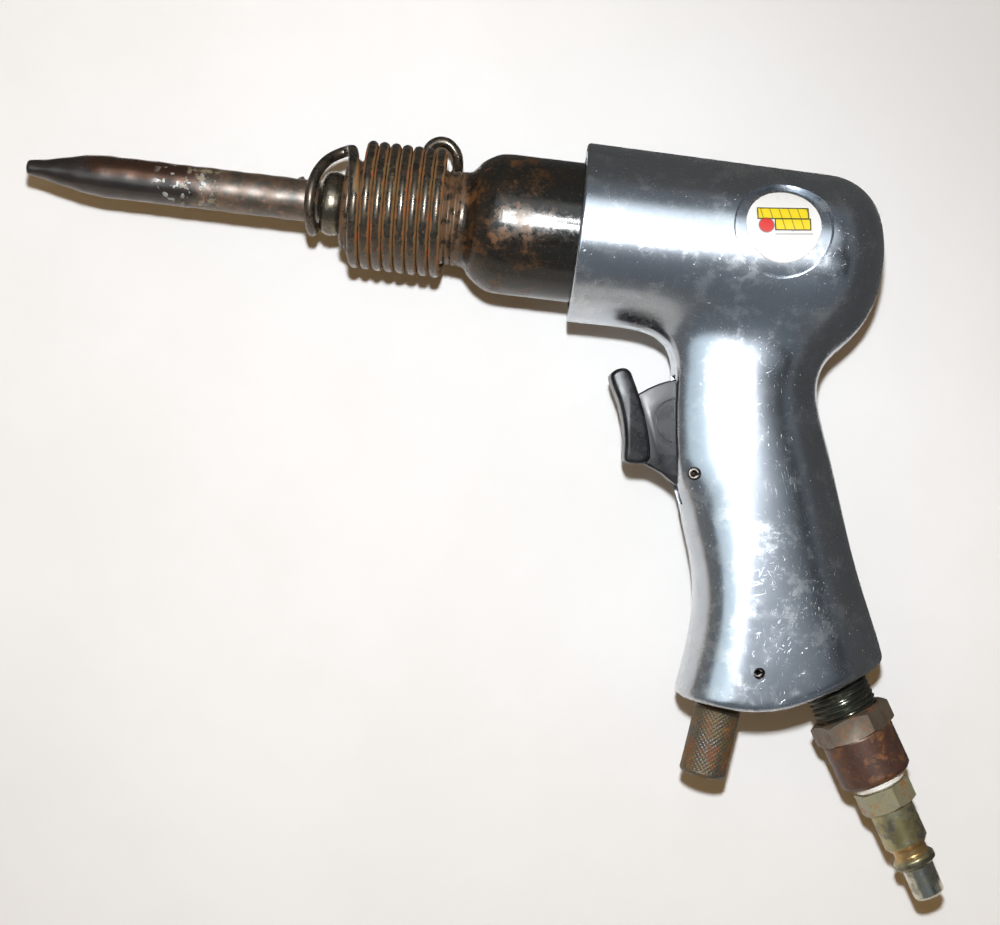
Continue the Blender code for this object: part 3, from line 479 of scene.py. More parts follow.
def relaxed(points, faces, rounds):
    """Evens out a quad mesh while it stays on the skin."""
    ends = edge_ends(faces)
    ends = np.concatenate([ends, ends[:, ::-1]])
    count = np.bincount(ends[:, 0], minlength=len(points))[:, None]
    for _ in range(rounds):
        total = np.stack(
            [np.bincount(ends[:, 0], points[ends[:, 1], k], minlength=len(points)) for k in range(3)], 1
        )
        points = settle(0.4 * points + 0.6 * total / count, 2)
    return points


def subdivided(points, faces):
    """Splits each quad into four, new points at the middles of edges and faces."""
    count = len(points)
    unique, inverse = np.unique(np.sort(edge_ends(faces), 1), axis=0, return_inverse=True)
    inverse = inverse.reshape(4, -1).T
    middles = points[unique].mean(1)
    centres = points[faces].mean(1)
    edge_id = count + inverse
    face_id = count + len(unique) + np.arange(len(faces))
    made = [
        np.stack([faces[:, k], edge_id[:, k], face_id, edge_id[:, k - 1]], 1) for k in range(4)
    ]
    return np.concatenate([points, middles, centres]), np.concatenate(made)


def casting_skin():
    """The casting before it is bored, as points and faces."""
    points, faces = surface_net((-7.0, -137.0, -27.0), (105.0, 28.0, 27.0), step=1.35)
    points = relaxed(settle(points, 5), faces, 12)
    points, faces = subdivided(points, faces)
    return settle(points, 3), [tuple(face) for face in faces.tolist()]


def rim_cutter():
    """Trims the housing's front square, with a small rounding at its rim."""
    rounding, steps, behind, beyond = 0.9, 6, -20.0, 4.0
    outer = housing_radius(rounding)
    profile = [(behind, 0.0), (0.0, 0.0), (0.0, outer - rounding)]
    for i in range(1, steps + 1):
        t = math.pi / 2 * i / steps
        profile.append((rounding * (1 - math.cos(t)), outer - rounding + rounding * math.sin(t)))
    profile += [(rounding + 0.02, outer + beyond), (behind, outer + beyond)]
    return turned(profile, sides=160)


def bore(stations, origin, direction, sides=96):
    """A cutter of several widths, each entry (station, radius) holding until the next."""
    walk = []
    for (start, radius), (end, _) in zip(stations, stations[1:]):
        walk += [(start, radius), (end, radius)]
    return turned(walk, origin, direction, sides)


def badge_axis(tilt=BADGE_TILT):
    return Vector((0.0, math.sin(tilt), math.cos(tilt)))


def curved_disc(normal, radius, inner, outer, rounding=0.0, flare=0.0, rings=40, sides=120):
    """A round piece of shell between two radii about the barrel axis, centred on a normal to it.
    Its outer face is rounded at the rim, or is wider than its inner face by flare."""
    across = X_AXIS.cross(normal)
    shares = [1 - (1 - i / rings) ** 1.5 for i in range(rings + 1)]
    layers = []
    for share in shares[1:]:
        r = radius * share
        drop = max(0.0, r - (radius - rounding)) / rounding if rounding else 0.0
        layers.append(((radius + flare) * share, outer - rounding * (1 - math.sqrt(max(0.0, 1 - drop**2)))))
    layers += [(radius * share, inner) for share in reversed(shares[1:])]
    points = []
    for r, level in layers:
        for k in range(sides):
            angle = math.tau * k / sides
            p, q = r * math.cos(angle), r * math.sin(angle)
            height = math.sqrt(max(level**2 - q**2, 0.0))
            points.append(tuple(X_AXIS * (BADGE_X + p) + across * q + normal * height))
    return points, ring_faces(len(layers), sides)


def badge_pocket():
    """The shallow round flat that the label sits in, as a cutter with sloping sides."""
    beyond = 28.0
    return curved_disc(
        badge_axis(POCKET_TILT), POCKET_R, BADGE_FLOOR_R, beyond, flare=POCKET_FLARE, rings=24, sides=96
    )


def make_casting(material):
    barrel = [(-5.0, 21.1), (0.5, 20.7), (10.0, 19.7), (70.0, 0)]
    throttle = [(46.5, 6.5), (68.0, 0)]
    regulator = [(-42.0, 4.5), (-24.4, 7.7), (-0.5, 8.0), (3.0, 0)]
    inlet = [(-32.0, 7.0), (-19.2, 9.15), (-6.2, 9.5), (2.0, 0)]
    slot_front, slot_end, slot_half, slot_low = 15.0, 47.5, 6.3, -71.5
    slot_top = TRIGGER_PIVOT.y + WEB_TOP_R + SLOT_GAP
    cutters = [
        rim_cutter(),
        bore(barrel, (0, 0, 0), X_AXIS, 160),
        box((slot_front, slot_low, -slot_half), (slot_end, slot_top, slot_half)),
        bore(throttle, Y_AXIS * THROTTLE_Y, X_AXIS, 64),
        bore(regulator, REGULATOR_FACE, REGULATOR_AXIS),
        bore(inlet, INLET_POINT, INLET_AXIS),
        cross_drill(TRIGGER_PIVOT, PIN_HOLE_R),
        cross_drill(REGULATOR_PIN, REGULATOR_PIN_HOLE_R),
        badge_pocket(),
    ]
    mesh = combined(casting_skin(), *(("DIFFERENCE", cutter) for cutter in cutters))
    show_mesh(
        "handle_casting_shell", mesh, "handle", material, ["handle_casting"], 32.0
    )


# ---------------------------------------------------------------- barrel, punch and spring

NOSE_X, BARREL_END_X, NECK_R, BARREL_R = -65.3, 48.0, 13.1, 19.4
NECK_THREAD_END_X, PUNCH_SEAT_X, BORE_R, SHANK_BORE_R, PORT_X = -32.2, -26.0, 9.7, 5.35, 6.0
WIRE_R, COIL_R, COIL_RISE, COIL_PITCH, COIL_FIRST_X = 1.52, 16.3, 0.8, 3.21, -60.7
COIL_SPAN = (-0.25, 7.25)
HAIRPIN = (
    (-62.7, 9.2, 13.6), (-63.9, 13.8, 7.6), (-65.1, 14.9, 3.2), (-66.6, 14.7, 1.0), (-69.2, 13.2, 1.6),
    (-71.4, 10.9, 3.8), (-73.1, 7.6, 6.1), (-74.0, 3.4, 8.0), (-74.1, -1.0, 8.4), (-73.7, -5.2, 6.7),
    (-73.2, -8.1, 1.0), (-73.6, -6.0, -5.6), (-75.0, -0.8, -8.3), (-77.0, 3.9, -7.5), (-79.2, 6.2, -5.8),
)
EAR = (
    (-36.2, 8.0, -14.9), (-35.6, 14.6, -11.4), (-36.1, 18.8, -9.4), (-38.6, 21.6, -8.8),
    (-41.6, 22.0, -8.9), (-44.0, 20.3, -9.4), (-44.8, 17.2, -10.0),
)


def thread_depth(stations, angles, pitch, depth):
    """How far a right-hand thread stands below its crest, for each station and angle."""
    phase = (stations / pitch - angles / math.tau) % 1.0
    return depth * np.clip(np.abs(phase - 0.5) * 2.6 - 0.3, 0, 1)


def make_barrel(material):
    shoulder = curve_through(
        [(-31.6, NECK_R), (-30.6, 13.5), (-29.6, 14.6), (-28.0, 16.4), (-26.0, 17.8), (-24.0, 18.8),
         (-22.0, 19.25), (-20.0, BARREL_R)], 6
    )
    nose = [(NOSE_X, 5.8), (NOSE_X, NECK_R - 1.6), (NOSE_X + 0.5, NECK_R - 0.9), (NOSE_X + 2.2, NECK_R)]
    outside = [*nose, *map(tuple, shoulder), (-10.0, BARREL_R), (BARREL_END_X, BARREL_R)]
    inside = [(BARREL_END_X, BORE_R), (PUNCH_SEAT_X, BORE_R), (PUNCH_SEAT_X, SHANK_BORE_R)]
    inside.append((NOSE_X + 0.5, SHANK_BORE_R))

    def neck_thread(stations, radii, angles):
        on_neck = (stations > NOSE_X + 1.0) & (stations < NECK_THREAD_END_X) & (radii > 12.0)
        fade = np.clip((NECK_THREAD_END_X - stations) / 1.2, 0, 1)
        return radii - on_neck * fade * thread_depth(stations, angles, 1.75, 0.55)

    walk = refined(outside, 0.32) + inside
    centre = X_AXIS * PORT_X
    ports = [drill(centre - side * 22, centre + side * 22, 2.2, 32) for side in (Y_AXIS, Z_AXIS)]
    tube_wall = turned(walk, sides=144, closed=True, radius=neck_thread)
    mesh = combined(tube_wall, *(("DIFFERENCE", port) for port in ports))
    show_mesh("barrel_tube", mesh, "handle", material, ["barrel"], 40.0)


def make_punch(material):
    """A pointed punch with a turned collar and a plain shank, worn a little out of round."""
    taper = curve_through(
        [(-153.7, 2.0), (-150.0, 2.6), (-146.0, 3.45), (-142.0, 4.35), (-138.0, 5.15), (-134.0, 5.7),
         (-131.0, 5.8)], 6
    )
    point = [(-154.2, 0.0), (-154.2, 1.3), (-154.05, 1.75), *map(tuple, taper), (-100.0, 5.8)]
    collar = [
        (-72.9, 5.8), (-72.4, 6.0), (-71.8, 6.7), (-71.2, 7.7), (-70.5, 8.4), (-69.6, 8.8),
        (-68.6, 8.9), (-67.4, 8.75), (-66.2, 8.4), (-65.6, 8.0), (-65.6, 5.08),
    ]
    shank = [(-22.3, 5.08), (-21.5, 4.3), (-21.5, 0.0)]

    def worn(stations, radii, angles):
        lobes = 0.04 * np.sin(3 * angles + stations * 0.37)
        ripple = 0.05 * np.sin(stations * 0.9 + 2 * np.cos(angles)) + lobes
        return radii + ripple * (radii > 2.0)

    points, faces = turned(refined([*point, *collar, *shank], 0.5), sides=96, radius=worn)
    show("punch_tool", points, faces, "punch", "worn_tool_steel", material, ["punch"], 40.0)


def coil_point(turns):
    angle = math.pi + math.tau * turns
    across, up = COIL_R * math.cos(angle), COIL_R * math.sin(angle)
    return (COIL_FIRST_X + COIL_PITCH * turns, COIL_RISE + across, up)


def stretched(name, wire, slot, material, node):
    """A spring along X, built on the handle and then cut loose from every body, its place baked into its
    mesh.
    """
    piece = show(name, *wire, "handle", slot, material, [node], 50.0)
    piece.parent = None
    del piece["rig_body"]
    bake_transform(piece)


def make_spring(material):
    """One wire: a loop round the punch, a close coil on the barrel's neck and an ear to turn it by."""
    first, last = COIL_SPAN
    count = round((last - first) * 56)
    coil = [coil_point(first + (last - first) * i / count) for i in range(count + 1)]
    front = curve_through([coil_point(first), *HAIRPIN], 8)[:0:-1]
    rear = curve_through([coil_point(last), *EAR], 8)[1:]
    wire = tube([*front, *coil, *rear], WIRE_R, 22)
    stretched(
        "retaining_spring_wire", wire, "rusty_spring_wire", material, "retaining_spring",
    )


# ---------------------------------------------------------------- trigger and pins

def make_trigger(material):
    """A curved finger pad on a web that reaches into the grip, with a round dimple on both sides."""
    tip = [(19.9, -38.6), (19.0, -37.0), (17.4, -36.1), (15.6, -36.5), (14.1, -37.6), (13.7, -39.0)]
    face = [(15.0, -42.0), (16.8, -45.4), (18.2, -49.2), (19.2, -53.0), (19.8, -57.0), (20.0, -60.0)]
    foot = [(20.5, -61.5), (22.4, -61.9), (24.6, -61.7), (26.4, -61.0), (27.1, -59.4)]
    back = [(26.6, -56.0), (25.2, -51.0), (23.4, -46.0), (21.6, -42.0)]
    pad = curve_through([*tip, *face, *foot, *back, tip[0]], 4)[:-1]
    top = arc(TRIGGER_PIVOT, WEB_TOP_R, 135, 88, 24)
    boss = arc(TRIGGER_PIVOT, 4.2, -20, -100, 12)
    tail = [(35.0, -66.2), (31.0, -63.6), (26.5, -61.8), (21.5, -61.2)]
    web = [*top, (41.6, -40.0), (41.6, -58.0), *boss, *tail]
    dimple, floor, outside = Vector((33.4, -49.2, 0.0)), Z_AXIS * 4.6, Z_AXIS * 8
    mesh = combined(
        slab(pad, 7.6, 1.1),
        ("UNION", slab(web, 5.8, 0.5, 3)),
        ("DIFFERENCE", cross_drill(TRIGGER_PIVOT, PIN_HOLE_R)),
        ("DIFFERENCE", drill(dimple + floor, dimple + outside, 6.6, 96)),
        ("DIFFERENCE", drill(dimple - floor, dimple - outside, 6.6, 96)),
        ("UNION", cross_drill(dimple, 5.6, 5.5, 96)),
    )
    show_mesh("trigger_lever", mesh, "trigger", material, ["trigger"], 40.0)


def roll_pin(name, centre, radius, length, node, material):
    """A slit tube with rounded ends, lying along Z."""
    outline = [*arc(centre, radius, 12, 348, 40), *arc(centre, radius * 0.58, 344, 16, 30)]
    points, faces = slab(outline, length / 2, 0.12, 2)
    show(name, points, faces, "handle", "roll_pin_steel", material, [node], 40.0)


def make_throttle_spring(material):
    """The valve's return spring, squashed between the stem's head and the end of its bore."""
    start, end, turns, mean_r, wire_r, grip = 61.1, 67.2, 4.5, 3.2, 0.4, 0.4
    steps = round(turns * 36)
    path = []
    for i in range(steps + 1):
        angle = math.tau * turns * i / steps
        share = min(max((i / steps - 0.1) / 0.8, 0.0), 1.0)
        x = start + (end - start) * share
        path.append((x, THROTTLE_Y + mean_r * math.cos(angle), mean_r * math.sin(angle)))
    stretched(
        "throttle_return_spring", tube(path, wire_r, 14), "spring_steel", material, "throttle_spring",
    )


# ---------------------------------------------------------------- badge

def make_badge(material):
    points, faces = curved_disc(
        badge_axis(), BADGE_R, BADGE_FLOOR_R + 0.02, BADGE_FLOOR_R + BADGE_THICK, rounding=0.12
    )
    show("badge_label", points, faces, "handle", "badge_white", material, ["badge_disc"], 50.0)


# ---------------------------------------------------------------- regulator and inlet

KNOB_R, PLUG_R, NOSE_R, KNURL_RIDGES, KNURL_DEPTH = 6.6, 7.4, 4.2, 30, 0.26


def make_knob(material):
    """The regulator with a diamond knurl on its grip."""
    nose = [(-40.0, 3.7), (-39.5, NOSE_R), (-24.0, NOSE_R), (-24.0, PLUG_R)]
    seal = [(-19.4, PLUG_R), (-19.4, 5.8), (-17.0, 5.8), (-17.0, PLUG_R)]
    groove = [(-14.0, PLUG_R), (-14.0, 4.9), (-10.2, 4.9), (-10.2, PLUG_R)]
    neck = [(-2.3, PLUG_R), (-2.0, PLUG_R - 0.3), (-2.0, 5.7), (0.6, 5.7), (1.2, 6.45)]
    grip = refined([(1.2, 6.45), (19.2, 6.5)], 0.14)[1:]
    end = [(19.9, 6.2), (20.3, 5.6), (20.5, 4.8)]

    def knurl(stations, radii, angles):
        on_grip = np.clip((stations - 1.2) / 0.5, 0, 1) * np.clip((19.3 - stations) / 0.4, 0, 1)
        turn = angles / math.tau * KNURL_RIDGES
        rise = stations / (math.tau * KNOB_R / KNURL_RIDGES)
        one = np.abs((turn + rise) % 1.0 - 0.5) * 2
        two = np.abs((turn - rise) % 1.0 - 0.5) * 2
        return radii - on_grip * KNURL_DEPTH * (1 - np.minimum(one, two) ** 0.9)

    walk = [*nose, *seal, *groove, *neck, *grip, *end]
    points, faces = turned(walk, REGULATOR_FACE, REGULATOR_AXIS, 234, radius=knurl)
    show(
        "regulator_knob_knurled", points, faces, "regulator", "rusty_knurled_steel", material,
        ["regulator_knob"], 60.0,
    )


def hexagon(span, flats, ridge_angle, origin, direction):
    """A plain hexagonal bar, with one of its ridges at an angle."""
    e1, e2, axis = (np.array(v) for v in basis(direction))
    angles = [ridge_angle - math.pi / 2 + math.tau * k / 6 for k in range(6)]
    ring = [flats / math.sqrt(3) * (math.cos(angle) * e1 + math.sin(angle) * e2) for angle in angles]
    low, high = (np.array(origin) + axis * s for s in span)
    return [low + r for r in ring] + [high + r for r in ring], ring_faces(2, 6)


def chamfer_cone(span, flats, origin, direction, low_chamfer):
    """The turned form that trims a hexagon's ends, the high one always."""
    start, end = span
    edge, full = flats / 2 * 0.985, flats / 2 * 1.19
    rise = (full - edge) * 0.55
    low = [(start - 0.01, edge), (start + rise, full)] if low_chamfer else [(start - 0.01, full)]
    return turned([*low, (end - rise, full), (end + 0.01, edge)], origin, direction, 120)


def inlet_nut(span, flats, ridge_degrees, hole, sides, low_chamfer=True):
    """A hexagonal nut on the inlet's axis with a hole of (start, end, radius)."""
    start, end, radius = hole
    mesh = combined(
        hexagon(span, flats, math.radians(ridge_degrees), INLET_POINT, INLET_AXIS),
        ("INTERSECT", chamfer_cone(span, flats, INLET_POINT, INLET_AXIS, low_chamfer)),
        ("DIFFERENCE", turned([(start, radius), (end, radius)], INLET_POINT, INLET_AXIS, sides)),
    )
    mesh.transform((Matrix.Translation(ORIGIN) @ Matrix.Scale(MM, 4)).inverted())
    points = [tuple(v.co) for v in mesh.vertices]
    faces = [tuple(f.vertices) for f in mesh.polygons]
    bpy.data.meshes.remove(mesh)
    return points, faces


def make_adapter(material):
    thread = [(-18.8, 8.0), (-18.0, 8.85), (3.0, 8.85), (3.6, 8.1), (4.4, 8.1), (4.4, 9.5)]
    sleeve = rounded(
        [(9.4, 9.5), (9.4, 9.7), (10.4, 10.15, 0.4), (22.4, 10.15, 0.8), (23.5, 9.2, 0.4), (23.5, 6.6)]
    )
    walk = refined([*thread, *sleeve], 0.3) + [(12.0, 6.5), (12.0, 5.0), (-18.8, 5.0)]

    def cut_thread(stations, radii, angles):
        on = (stations > -18.2) & (stations < 3.1) & (radii > 8.5)
        return radii - on * thread_depth(stations, angles, 1.41, 0.75)

    base = turned(walk, INLET_POINT, INLET_AXIS, 128, closed=True, radius=cut_thread)
    nut = inlet_nut((3.5, 10.2), 20.0, 11.8, (-1.0, 14.0, 9.0), 96)
    mesh = combined(base, ("UNION", nut))
    show_mesh(
        "inlet_adapter_fitting", mesh, "handle", material, ["inlet_adapter"], 32.0
    )


def make_tape(material):
    """Two or three wraps of thread tape squeezed out between the adapter and the plug."""
    inner_r = 6.36
    walk = [
        (23.8, 6.4), (23.8, 6.75), (24.1, 7.05), (24.6, 7.15), (25.0, 7.0), (25.3, 7.1), (25.65, 6.85),
        (25.7, 6.4),
    ]

    def wrapped(stations, radii, angles):
        wave = 0.07 * np.sin(3 * angles + 1.2) + 0.05 * np.sin(7 * angles + stations * 3)
        wave = wave + 0.04 * np.sin(13 * angles)
        return np.maximum(radii + wave * (radii > 6.6), inner_r)

    points, faces = turned(
        refined(walk, 0.12), INLET_POINT, INLET_AXIS, 160, closed=True, radius=wrapped
    )
    show("thread_tape_wraps", points, faces, "handle", "white_tape", material, ["thread_seal_tape"], 50.0)


def make_plug(material):
    outside = rounded(
        [(12.6, 5.6), (13.2, 6.2), (25.9, 6.2), (32.3, 6.2), (42.9, 6.2, 0.5), (44.8, 4.7, 0.5),
         (46.5, 4.7, 0.6), (47.7, 5.85, 0.5), (49.4, 5.95, 0.8), (50.5, 4.35, 0.3), (58.7, 4.35, 0.3),
         (59.5, 3.6, 0.3), (59.6, 3.3)]
    )
    walk = refined(outside, 0.3) + [(59.5, 2.8), (59.2, 2.6), (12.6, 2.6)]
    base = turned(walk, INLET_POINT, INLET_AXIS, 112, closed=True)
    nut = inlet_nut((26.0, 32.4), 14.1, 18.7, (20.0, 40.0, 4.5), 64, low_chamfer=False)
    mesh = combined(base, ("UNION", nut))
    show_mesh("inlet_plug_nipple", mesh, "handle", material, ["inlet_plug"], 32.0)


# ---------------------------------------------------------------- materials

class Shade:
    """One material's node tree, with short calls for the nodes it is made of."""

    def __init__(self, name, colour, metallic, roughness):
        self.material = bpy.data.materials.new(name)
        self.material.use_nodes = True
        self.tree = self.material.node_tree
        self.shader = self.tree.nodes["Principled BSDF"]
        object_place = self.tree.nodes.new("ShaderNodeTexCoord").outputs["Object"]
        from_origin = self.vector("SUBTRACT", object_place, tuple(ORIGIN)).outputs[0]
        self.place = self.node(
            "ShaderNodeVectorMath", {"operation": "SCALE"}, {0: from_origin, 3: 1 / MM}
        ).outputs[0]
        self.colour, self.metallic, self.roughness, self.normal = colour, metallic, roughness, None

    def node(self, kind, settings=None, inputs=None):
        made = self.tree.nodes.new(kind)
        for key, value in (settings or {}).items():
            setattr(made, key, value)
        for key, value in (inputs or {}).items():
            self.feed(made.inputs[key], value)
        return made

    def feed(self, socket, value):
        if isinstance(value, bpy.types.NodeSocket):
            self.tree.links.new(value, socket)
        else:
            socket.default_value = value

    def vector(self, operation, a, b):
        return self.node("ShaderNodeVectorMath", {"operation": operation}, {0: a, 1: b})

    def mapped(self, scale=(1, 1, 1), turn=0.0, offset=(0, 0, 0)):
        """The tool's millimetres, turned about Z and then stretched."""
        mapping, point = "ShaderNodeMapping", {"vector_type": "POINT"}
        rotated = self.node(mapping, point, {"Vector": self.place, "Rotation": (0, 0, turn)}).outputs[0]
        return self.node(mapping, point, {"Vector": rotated, "Scale": scale, "Location": offset}).outputs[0]

    def noise(self, size, detail=3.0, roughness=0.55, vector=None):
        """Noise with features of about a size in millimetres."""
        inputs = {"Vector": vector or self.place, "Scale": 1 / size, "Detail": detail}
        inputs["Roughness"] = roughness
        return self.node("ShaderNodeTexNoise", None, inputs).outputs["Fac"]

    def spots(self, size, level, soft, seed=0.0, detail=4.0, roughness=0.65):
        """A mask of ragged patches, fuller as the level is lower."""
        vector = self.mapped(offset=(seed, seed * 1.7, seed * 0.6))
        return self.step(self.noise(size, detail, roughness, vector), level, soft)

    def step(self, value, level, soft):
        """Rises from zero to one round a level."""
        return self.node(
            "ShaderNodeMapRange", {"interpolation_type": "SMOOTHSTEP"},
            {"Value": value, "From Min": level - soft, "From Max": level + soft},
        ).outputs[0]

    def band(self, value, low, high, soft):
        """One between low and high, fading over soft at each end."""
        return self.times(self.step(value, low, soft), self.inverse(self.step(value, high, soft)))

    def math(self, operation, a, b=0.0):
        return self.node("ShaderNodeMath", {"operation": operation}, {0: a, 1: b}).outputs[0]

    def times(self, a, b):
        return self.math("MULTIPLY", a, b)

    def inverse(self, mask):
        return self.math("SUBTRACT", 1.0, mask)

    def mix(self, factor, a, b):
        made = self.node("ShaderNodeMix", {"data_type": "RGBA"})
        self.feed(made.inputs[0], factor)
        for socket, value in ((made.inputs[6], a), (made.inputs[7], b)):
            self.feed(socket, value if isinstance(value, bpy.types.NodeSocket) else (*value, 1))
        return made.outputs[2]

    def blend(self, factor, a, b):
        """As mix, for single numbers."""
        made = self.node("ShaderNodeMix", {"data_type": "FLOAT"})
        for socket, value in ((0, factor), (2, a), (3, b)):
            self.feed(made.inputs[socket], value)
        return made.outputs[0]

    def axis(self, name):
        """One coordinate of the tool's frame, in millimetres."""
        return self.node("ShaderNodeSeparateXYZ", None, {0: self.place}).outputs[name]

    def along(self, direction, start=(0, 0, 0)):
        """Millimetres along a direction from a start."""
        moved = self.vector("SUBTRACT", self.place, tuple(start)).outputs[0]
        return self.vector("DOT_PRODUCT", moved, tuple(direction)).outputs["Value"]

    def bump(self, height, depth):
        """Adds a bump of a depth in millimetres."""
        inputs = {"Height": height, "Distance": depth * MM}
        if self.normal is not None:
            inputs["Normal"] = self.normal
        self.normal = self.node("ShaderNodeBump", None, inputs).outputs[0]

    def layer(self, mask, colour=None, metallic=None, roughness=None, amount=1.0):
        """Puts another finish over what is there, where a mask says."""
        if amount != 1.0:
            mask = self.times(mask, amount)
        if colour is not None:
            self.colour = self.mix(mask, self.colour, colour)
        if metallic is not None:
            self.metallic = self.blend(mask, self.metallic, metallic)
        if roughness is not None:
            self.roughness = self.blend(mask, self.roughness, roughness)

    def scratches(self, turns, length, width, level, gap):
        """Fine straight scratches in several directions, as a mask."""
        total = None
        for number, turn in enumerate(turns):
            shift = 7.3 * (number + 1)
            vector = self.mapped((1 / length, 1 / width, 1 / width), turn, (shift, shift * 0.4, 0))
            lines = self.noise(1.0, 1.0, 0.5, vector)
            broken = self.spots(gap, 0.53, 0.06, shift)
            mask = self.times(self.step(lines, level, 0.012), broken)
            total = mask if total is None else self.math("MAXIMUM", total, mask)
        return total

    def done(self, **fixed):
        """The finished material, with constants for the shader's own sockets."""
        colour = self.colour if isinstance(self.colour, bpy.types.NodeSocket) else (*self.colour, 1)
        values = {"Base Color": colour, "Metallic": self.metallic, "Roughness": self.roughness}
        values["Normal"] = self.normal
        for name, value in values.items():
            if value is not None:
                self.feed(self.shader.inputs[name], value)
        for name, value in fixed.items():
            self.shader.inputs[name.replace("_", " ")].default_value = value
        return self.material


def aluminium():
    s = Shade("aluminium_polished", (0.545, 0.575, 0.615), 1.0, 0.205)
    s.layer(s.spots(26.0, 0.5, 0.22), (0.485, 0.515, 0.56), None, 0.24)
    s.layer(s.spots(6.0, 0.58, 0.14, 3.0, 3.0, 0.6), (0.43, 0.45, 0.48), None, 0.27, 0.55)
    s.layer(s.spots(8.0, 0.57, 0.09, 23.0, 6.0, 0.72), (0.62, 0.63, 0.64), None, 0.36, 0.6)
    fine = s.scratches((0.25, 1.25, 1.9, 2.8), 9.0, 0.13, 0.735, 12.0)
    deep = s.scratches((0.9, 1.45, 2.5), 4.5, 0.20, 0.765, 16.0)
    nicks = s.spots(1.1, 0.785, 0.012, 11.0, 1.0)
    marks = s.math("MAXIMUM", deep, nicks)
    s.layer(fine, (0.68, 0.69, 0.70), None, 0.38, 0.5)
    s.layer(marks, (0.85, 0.86, 0.87), 0.75, 0.50, 0.85)
    s.bump(s.noise(9.0, 2.0), 0.03)
    s.bump(s.inverse(s.math("MAXIMUM", s.times(fine, 0.4), marks)), 0.012)
    return s.done()


def black_oxide():
    s = Shade("barrel_black_oxide", (0.016, 0.016, 0.014), 0.35, 0.115)
    shoulder = s.band(s.axis("X"), -40.0, -12.0, 9.0)
    haze = s.spots(2.0, 0.55, 0.12, 1.0, 6.0, 0.72)
    s.layer(haze, (0.024, 0.017, 0.009), 0.3, 0.34, 0.6)
    mottle = s.times(s.spots(5.0, 0.51, 0.13, 5.0, 6.0, 0.75), shoulder)
    s.layer(mottle, (0.040, 0.020, 0.007), 0.5, 0.50, 0.75)
    rust = s.times(s.spots(6.0, 0.575, 0.08, 9.0, 6.0, 0.75), shoulder)
    s.layer(rust, (0.150, 0.058, 0.011), 0.4, 0.70, 0.85)
    s.layer(s.spots(1.0, 0.66, 0.08, 2.0, 4.0), (0.055, 0.036, 0.022), 0.0, 0.5, 0.6)
    neck = s.band(s.axis("X"), -70.0, -32.0, 1.0)
    s.layer(neck, (0.090, 0.070, 0.050), 0.75, 0.24, 0.8)
    s.layer(s.times(neck, s.spots(2.6, 0.48, 0.08, 4.0)), (0.13, 0.060, 0.018), 0.1, 0.72, 0.85)
    s.layer(s.scratches((0.1, 1.5, 1.62), 5.0, 0.10, 0.70, 8.0), (0.12, 0.12, 0.12), 1.0, 0.35, 0.6)
    s.bump(s.noise(1.0, 2.0, 0.6, s.mapped((2.4, 0.12, 0.12))), 0.030)
    s.bump(s.noise(0.5, 4.0, 0.7), 0.006)
    return s.done(IOR=1.6)


def punch_steel():
    s = Shade("punch_worn_steel", (0.085, 0.060, 0.040), 0.6, 0.38)
    x = s.axis("X")
    s.layer(s.spots(4.0, 0.48, 0.10, 1.0, 5.0), (0.15, 0.078, 0.040), 0.35, 0.45, 0.8)
    s.layer(s.spots(3.0, 0.54, 0.06, 6.0, 5.0), (0.060, 0.054, 0.040), 0.5, 0.40, 0.85)
    s.layer(s.spots(2.0, 0.61, 0.04, 8.0, 5.0), (0.19, 0.080, 0.032), 0.1, 0.55, 0.8)
    s.layer(s.spots(1.4, 0.60, 0.05, 18.0, 5.0), (0.12, 0.115, 0.10), 0.8, 0.35, 0.7)
    ragged = s.math("ADD", x, s.times(s.noise(6.0, 4.0, 0.7), 16.0))
    tip = s.inverse(s.step(ragged, -98.5, 2.2))
    s.layer(tip, (0.050, 0.036, 0.028), 0.6, 0.27)
    # Painted highlight: a lighter copper stripe along the side of the tip that faces away from the grip,
    # where the flash catches it.
    painted_highlight_stripe = s.times(s.step(s.axis("Y"), 0.1, 1.2), s.band(x, -137.0, -90.0, 3.0))
    s.layer(s.times(tip, painted_highlight_stripe), (0.15, 0.070, 0.040), 0.9, 0.30, 0.8)
    s.layer(s.times(tip, s.spots(4.0, 0.57, 0.1, 2.0)), (0.026, 0.024, 0.024), 0.6, 0.24, 0.7)
    flecks = s.times(s.band(x, -117.0, -103.0, 2.0), s.spots(2.6, 0.615, 0.025, 4.0, 3.0, 0.5))
    s.layer(flecks, (0.27, 0.28, 0.26), 0.0, 0.5, 0.9)
    crust = s.times(s.band(x, -110.0, -99.0, 3.0), s.spots(2.8, 0.57, 0.04, 13.0, 4.0))
    s.layer(crust, (0.20, 0.155, 0.075), 0.0, 0.65, 0.85)
    collar = s.step(x, -72.3, 0.3)
    s.layer(collar, (0.17, 0.145, 0.105), 0.95, 0.20, 0.95)
    s.layer(s.times(collar, s.spots(2.4, 0.52, 0.10, 7.0)), (0.10, 0.070, 0.040), 0.7, 0.32, 0.8)
    s.bump(s.noise(0.8, 4.0, 0.7), 0.02)
    s.bump(s.math("MAXIMUM", flecks, crust), 0.06)
    return s.done(IOR=2.1)


